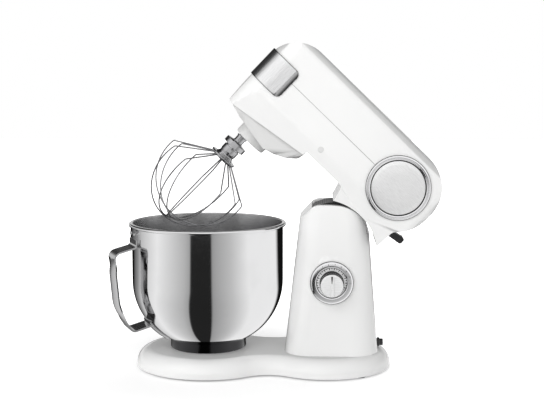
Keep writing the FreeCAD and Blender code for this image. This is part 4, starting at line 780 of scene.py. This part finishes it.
def widened(line, width, steps):
    """A line in the XZ plane drawn out across Y into a sheet."""
    bmesh.ops.translate(line, verts=line.verts, vec=(0, -width / 2 * MM, 0))
    front = line.edges[:]
    for _ in range(steps):
        grown = bmesh.ops.extrude_edge_only(line, edges=front)["geom"]
        corners = {part for part in grown if isinstance(part, bmesh.types.BMVert)}
        bmesh.ops.translate(line, verts=list(corners), vec=(0, width / steps * MM, 0))
        front = [part for part in grown if isinstance(part, bmesh.types.BMEdge)
                 and set(part.verts) <= corners]


def divided(line, longest):
    """Splits a line's long runs into short ones."""
    for edge in line.edges[:]:
        count = int(edge.calc_length() / (longest * MM))
        if count:
            bmesh.ops.subdivide_edges(line, edges=[edge], cuts=count)
    return line


def narrowed(shape, width):
    """Cuts a sheet to a width across Y."""
    for side in (1, -1):
        trimmed(shape, (0, side * width / 2, 0), (0, side, 0))
    return shape


def rounded_end(shape, width, end, rounding):
    """Rounds the two upper corners of a tab that ends at a height."""
    for side in (-1, 1):
        for step in range(1, 6):
            lean = math.radians(15 * step)
            away = Vector((0, side * math.sin(lean), math.cos(lean)))
            centre = Vector((0, side * (width / 2 - rounding), end - rounding))
            trimmed(shape, centre + away * rounding, away)
    return shape


def fanned(line, spread):
    """A line in the XZ plane swung about Z into a sheet, as far to each side."""
    bmesh.ops.rotate(line, verts=line.verts, matrix=Matrix.Rotation(-spread, 3, "Z"))
    bmesh.ops.spin(line, geom=everything(line), cent=(0, 0, 0), axis=(0, 0, 1),
                   angle=2 * spread, steps=24)
    return line


def make_strap(ply, reach, top, foot):
    """The strap that stands off the bowl, narrowed and curled back where a hand holds it."""
    curl = 4.2
    strap = divided(drawn([
        (ply, top + 9), (ply, top - 1.5, 5), (reach - 3, top - 9, 10), (reach, top - 36, 30),
        (reach - 4.5, foot + 34, 45), (reach - 26, foot, 8), (reach - 57, foot + 8)]), 3.5)
    widened(strap, STRAP_WIDTH, 14)
    for corner in strap.verts:
        share = (corner.co.y / (STRAP_WIDTH / 2 * MM)) ** 2
        height = corner.co.z / MM
        grip = min(max((height - foot - 12) / 22, 0), 1) * min(max((top - 14 - height) / 18, 0), 1)
        smooth = grip * grip * (3 - 2 * grip)
        corner.co.x -= curl * MM * share * smooth
        corner.co.y *= 1 - 0.1 * smooth
    return strap


def make_upper_tab(ply, bottom, end):
    """The strap's riveted end, which follows the bowl's upright wall."""
    tab = fanned(drawn([(ply, bottom), (ply, end)]), math.radians(12))
    return rounded_end(narrowed(tab, STRAP_WIDTH), STRAP_WIDTH, end, 7)


def make_lower_tab(ply, bottom, wall, end):
    """The strap's welded end, which follows the bowl's cone and rounding from underneath."""
    out = STRAP / 2
    knee = bowl_knee(bottom, wall)
    line = drawn([(BOWL_FLAT + out * math.tan(BOWL_LEAN / 2), bottom - out),
                  (ply, knee - knee_offset(out), BOWL_CURVE + out), (ply, knee + 40)])
    inner_end = (66, 0, 0)
    trimmed(line, inner_end, (-1, 0, 0))
    trimmed(line, (0, 0, end), (0, 0, 1))
    return narrowed(fanned(line, math.radians(17)), STRAP_WIDTH)


def make_handle():
    """A pressed strap with a hollowed grip, riveted to the bowl's wall and welded under it."""
    shell_low, shell_high = rest_box("bowl_shell")
    low, high = rest_box("bowl_handle")
    rivet_low, rivet_high = rest_box("handle_rivets")
    rivet = (rivet_low + rivet_high) / 2
    turn = math.atan2(rivet.y, rivet.x)
    wall = shell_high.x - RIM_REACH
    ply = wall + STRAP / 2
    top, foot = high.z - 23, low.z + 14.5
    shape = joined(make_strap(ply, wall + 34, top, foot), make_upper_tab(ply, top, high.z),
                   make_lower_tab(ply, shell_low.z, wall, foot + 12))
    bmesh.ops.rotate(shape, verts=shape.verts, matrix=Matrix.Rotation(turn, 3, "Z"))
    handle = piece("strap_handle", shape, "handle_steel", "bowl", ("bowl_handle",))
    thickened(handle, STRAP, 0.45)
    heads = []
    for side in (-1, 1):
        head = turned([(0, -1.5), (2.6, -1.5), (2.6, 0.3, 0.3), (1.7, 1.15, 1.6), (0, 1.3)], 40)
        place = Matrix.Rotation(turn, 4, "Z") @ at(wall + STRAP, side * STRAP_WIDTH / 4, rivet.z)
        heads.append(moved(head, place @ Matrix.Rotation(math.radians(90), 4, "Y")))
    piece("domed_rivets", joined(*heads), "handle_steel", "bowl", ("handle_rivets",))


make_bowl()
make_foot_ring()
make_handle()


# ------------------------------------------------------------------------------------------------
# Whisk
# ------------------------------------------------------------------------------------------------
smoothed("whisk_hub", "dark_steel", edge=0.35)
smoothed("whisk_collar", "dark_steel", sharp=40)
smoothed("whisk_wires", "whisk_wire", sharp=60)


# ------------------------------------------------------------------------------------------------
# Power outlet, badge plates and nose cap
# ------------------------------------------------------------------------------------------------
smoothed("outlet_collar", "bare_alloy")


def make_badges():
    """On each side of the head, a stepped chrome ring round a domed satin plate, left bare,
    with black rings in the gaps round both, as painted shadow."""
    low, high = level_box("medallion_rings")
    middle = (low + high) / 2
    outer = (high.x - low.x) / 2
    thick = 3.5
    half = high.y - thick
    rings, plates, gaps = [], [], []
    for way, face in ((-1, FACING), (1, BACKING)):
        ring = turned([
            (outer - 6.1, 0), (outer, 0), (outer, 2.7, 0.9), (outer - 2.0, thick, 0.5),
            (outer - 2.7, 3.45, 0.2), (outer - 3.0, 2.8, 0.2), (outer - 3.7, 2.8, 0.2),
            (outer - 4.1, 3.3, 0.3), (outer - 5.6, 2.5, 0.4), (outer - 6.1, 1.2)], 144, ring=True)
        plate = turned([
            (0, 0.2), (outer - 7.1, 0.2), (outer - 7.1, 1.3, 0.7), (outer - 12, 2.4, 20),
            (outer - 24, 3.2, 60), (0, 3.4)], 144)
        place = at(middle.x, way * half, middle.z) @ face
        # Black bands in the gaps outside the ring and between ring and plate: painted shadow.
        for radius, width, height in ((outer + 0.5, 1.0, 1.9), (outer - 6.05, 1.1, 1.5)):
            gaps.append(moved(band(radius - width, radius, 0.3, height, 144), place))
        rings.append(moved(ring, place))
        plates.append(moved(plate, place))
    piece("badge_rings", moved(joined(*rings), OPEN), "chrome", "head", ("medallion_rings",))
    piece("badge_plates", moved(joined(*plates), OPEN), "brushed_disc", "head",
          ("medallion_discs",), sharp=60)
    piece("badge_gap_shadows", moved(joined(*gaps), OPEN), "print_black", "head")


make_badges()
smoothed("nose_cap", "cap_steel")


# ------------------------------------------------------------------------------------------------
# Speed dial
# ------------------------------------------------------------------------------------------------
SPEEDS = 11
SPEED_STEP = 20                       # degrees from one figure to the next
DIAL_SWEEP = 110                      # degrees from the top to the first figure


def ringed(shape, count):
    """Repeats a shape evenly round Z."""
    bmesh.ops.spin(shape, geom=everything(shape), cent=(0, 0, 0), axis=(0, 0, 1),
                   angle=2 * math.pi * (count - 1) / count, steps=count - 1, use_duplicate=True)
    return shape


def numeral(figure, height, spot):
    """A thin printed figure, its middle at a spot on the dial in millimetres."""
    text = bpy.data.curves.new("figure", "FONT")
    text.body = str(figure)
    text.size = height * MM * 1.35
    text.extrude = 0.03 * MM
    text.align_x, text.align_y = "CENTER", "CENTER"
    made = put("figure", text)
    bpy.context.view_layer.update()
    mesh = bpy.data.meshes.new_from_object(made)
    shape = bmesh.new()
    shape.from_mesh(mesh)
    bpy.data.objects.remove(made)
    bpy.data.curves.remove(text)
    bpy.data.meshes.remove(mesh)
    return moved(shape, at(*spot))


def on_dial(back):
    """Turns Z to the dial's axis, facing the front, with its origin at a depth."""
    low, high = rest_box("dial_bezel")
    return at((low.x + high.x) / 2, back, (low.z + high.z) / 2) @ FACING


def make_scale():
    """The dial's fixed part: a ring and a plate with ticks and plain figures, and a black line
    round the ring as painted shadow.
    """
    low, high = rest_box("dial_bezel")
    outer = (high.x - low.x) / 2
    inner = rest_box("dial_scale")[1].x - (low.x + high.x) / 2
    face = on_dial(high.y)
    bezel = turned([
        (inner, 0), (outer, 0), (outer, 2.2, 1), (outer - 2.0, 3.7, 2),
        (inner + 0.8, 4.0, 0.5), (inner, 3.3)], 128, ring=True)
    piece("dial_ring", moved(bezel, face), "dial_chrome", "base", ("dial_bezel",))
    plate = band(5, inner - 0.1, 0, 1.5, 96)
    piece("dial_plate", moved(plate, face), "scale_grey", "base", ("dial_scale",))
    marks = []
    # The first band is a black line round the ring's foot, painted shadow where the ring meets the column; the
    # second is the printed tick ring.
    for radius, width, height in ((outer + 0.55, 1.5, 1.7), (inner - 0.1, 0.9, 1.62)):
        marks.append(band(radius - width, radius, 0.5, height, 128))
    tick_step = SPEED_STEP // 2
    last = DIAL_SWEEP // tick_step
    for step in range(-last, last + 1):
        length = 2.9 if step % 2 else 1.7            # long at the figures and at both ends
        tick = block((-0.55, inner - 0.5 - length, 1.45), (0.55, inner - 0.5, 1.6))
        marks.append(moved(tick, Matrix.Rotation(math.radians(tick_step * step), 4, "Z")))
    for figure in range(1, SPEEDS + 1):
        angle = math.radians(DIAL_SWEEP - SPEED_STEP * (figure - 1))
        spot = ((outer + inner) / 2 + 0.2) * Vector((-math.sin(angle), math.cos(angle)))
        marks.append(numeral(figure, 2.4, (spot.x, spot.y, 3.86)))
    piece("dial_print_and_shadow_ring", moved(joined(*marks), face), "print_black", "base")


def make_knob():
    """The dial's turning part: a ribbed grip, and a brushed cover with a ridge and a pointer."""
    low, high = rest_box("dial_knob")
    depth = high.y - low.y
    rim = (high.x - low.x) / 2
    grip = turned([
        (0, 0), (rim - 0.4, 0), (rim - 0.4, 4.6, 1), (rim - 3.2, 8, 2),
        (rim - 1.6, depth - 4, 6), (rim - 1.6, depth, 0.9), (0, depth)], 120)
    rib = block((rim - 2.6, -0.45, 9.5), (rim - 0.8, 0.45, depth - 1.2), 0.35)
    piece("dial_grip", moved(joined(grip, ringed(rib, 40)), on_dial(high.y)), "dark_gloss",
          "dial", ("dial_knob",))
    low, high = rest_box("dial_face")
    disc = (high.x - low.x) / 2
    rise = high.y - low.y
    front = on_dial(high.y)
    cover = turned([(0, 0), (disc, 0), (disc, 1.5, 0.6), (disc - 2.4, 1.9, 2), (0, 2.1)], 96)
    ridge = block((-2.6, 1 - disc, 1.0), (2.6, disc - 1, rise), 1.2, 4)
    piece("dial_cover", moved(joined(cover, ridge), front), "dial_disc", "dial", ("dial_face",))
    pointer = block((-1.3, disc - 11.5, rise - 0.1), (1.3, disc - 1.8, rise + 0.08))
    for corner in pointer.verts:
        if corner.co.y <= (disc - 5) * MM:           # its inner end is the narrow one
            corner.co.x *= 0.3
    piece("dial_pointer", moved(pointer, front), "print_black", "dial")


make_scale()
make_knob()


# ------------------------------------------------------------------------------------------------
# Hinge drum, seat, cord inlet and lever
# ------------------------------------------------------------------------------------------------
smoothed("hinge_drum", "drum_black")
smoothed("bowl_seat_ring", "bare_alloy")
smoothed("cord_inlet", "black_plastic", edge=0.5)


def make_lever():
    """The moulded tilt lever, with raised ribs on the part that is pressed."""
    smoothed("release_lever", "black_plastic", edge=1.0)
    low, high = level_box("release_lever")
    pitch, slope = 3.4, 0.42
    ribs = []
    for step in range(5):
        across = high.x - 5 - pitch * step
        rib = block((across - 0.6, low.y + 3, high.z - 1.0),
                    (across + 0.6, high.y - 3, high.z + 0.5), 0.4)
        ribs.append(moved(rib, at(0, 0, -slope * pitch * step)))
    piece("lever_ribs", moved(joined(*ribs), OPEN), "black_plastic", "lever")


make_lever()


def keep_out_of_mirrors():
    """Leaves the base, the column with its dial and the nodes out of every reflection."""
    names = ("base_casting_skin", "bowl_seat_ring_skin", "column_shell_skin", "hinge_drum_skin",
             "cord_inlet_skin", "dial_ring", "dial_plate", "dial_print_and_shadow_ring", "dial_grip",
             "dial_cover", "dial_pointer")
    for made in [bpy.data.objects[name] for name in names] + list(frame["nodes"].values()):
        made.visible_glossy = False


keep_out_of_mirrors()
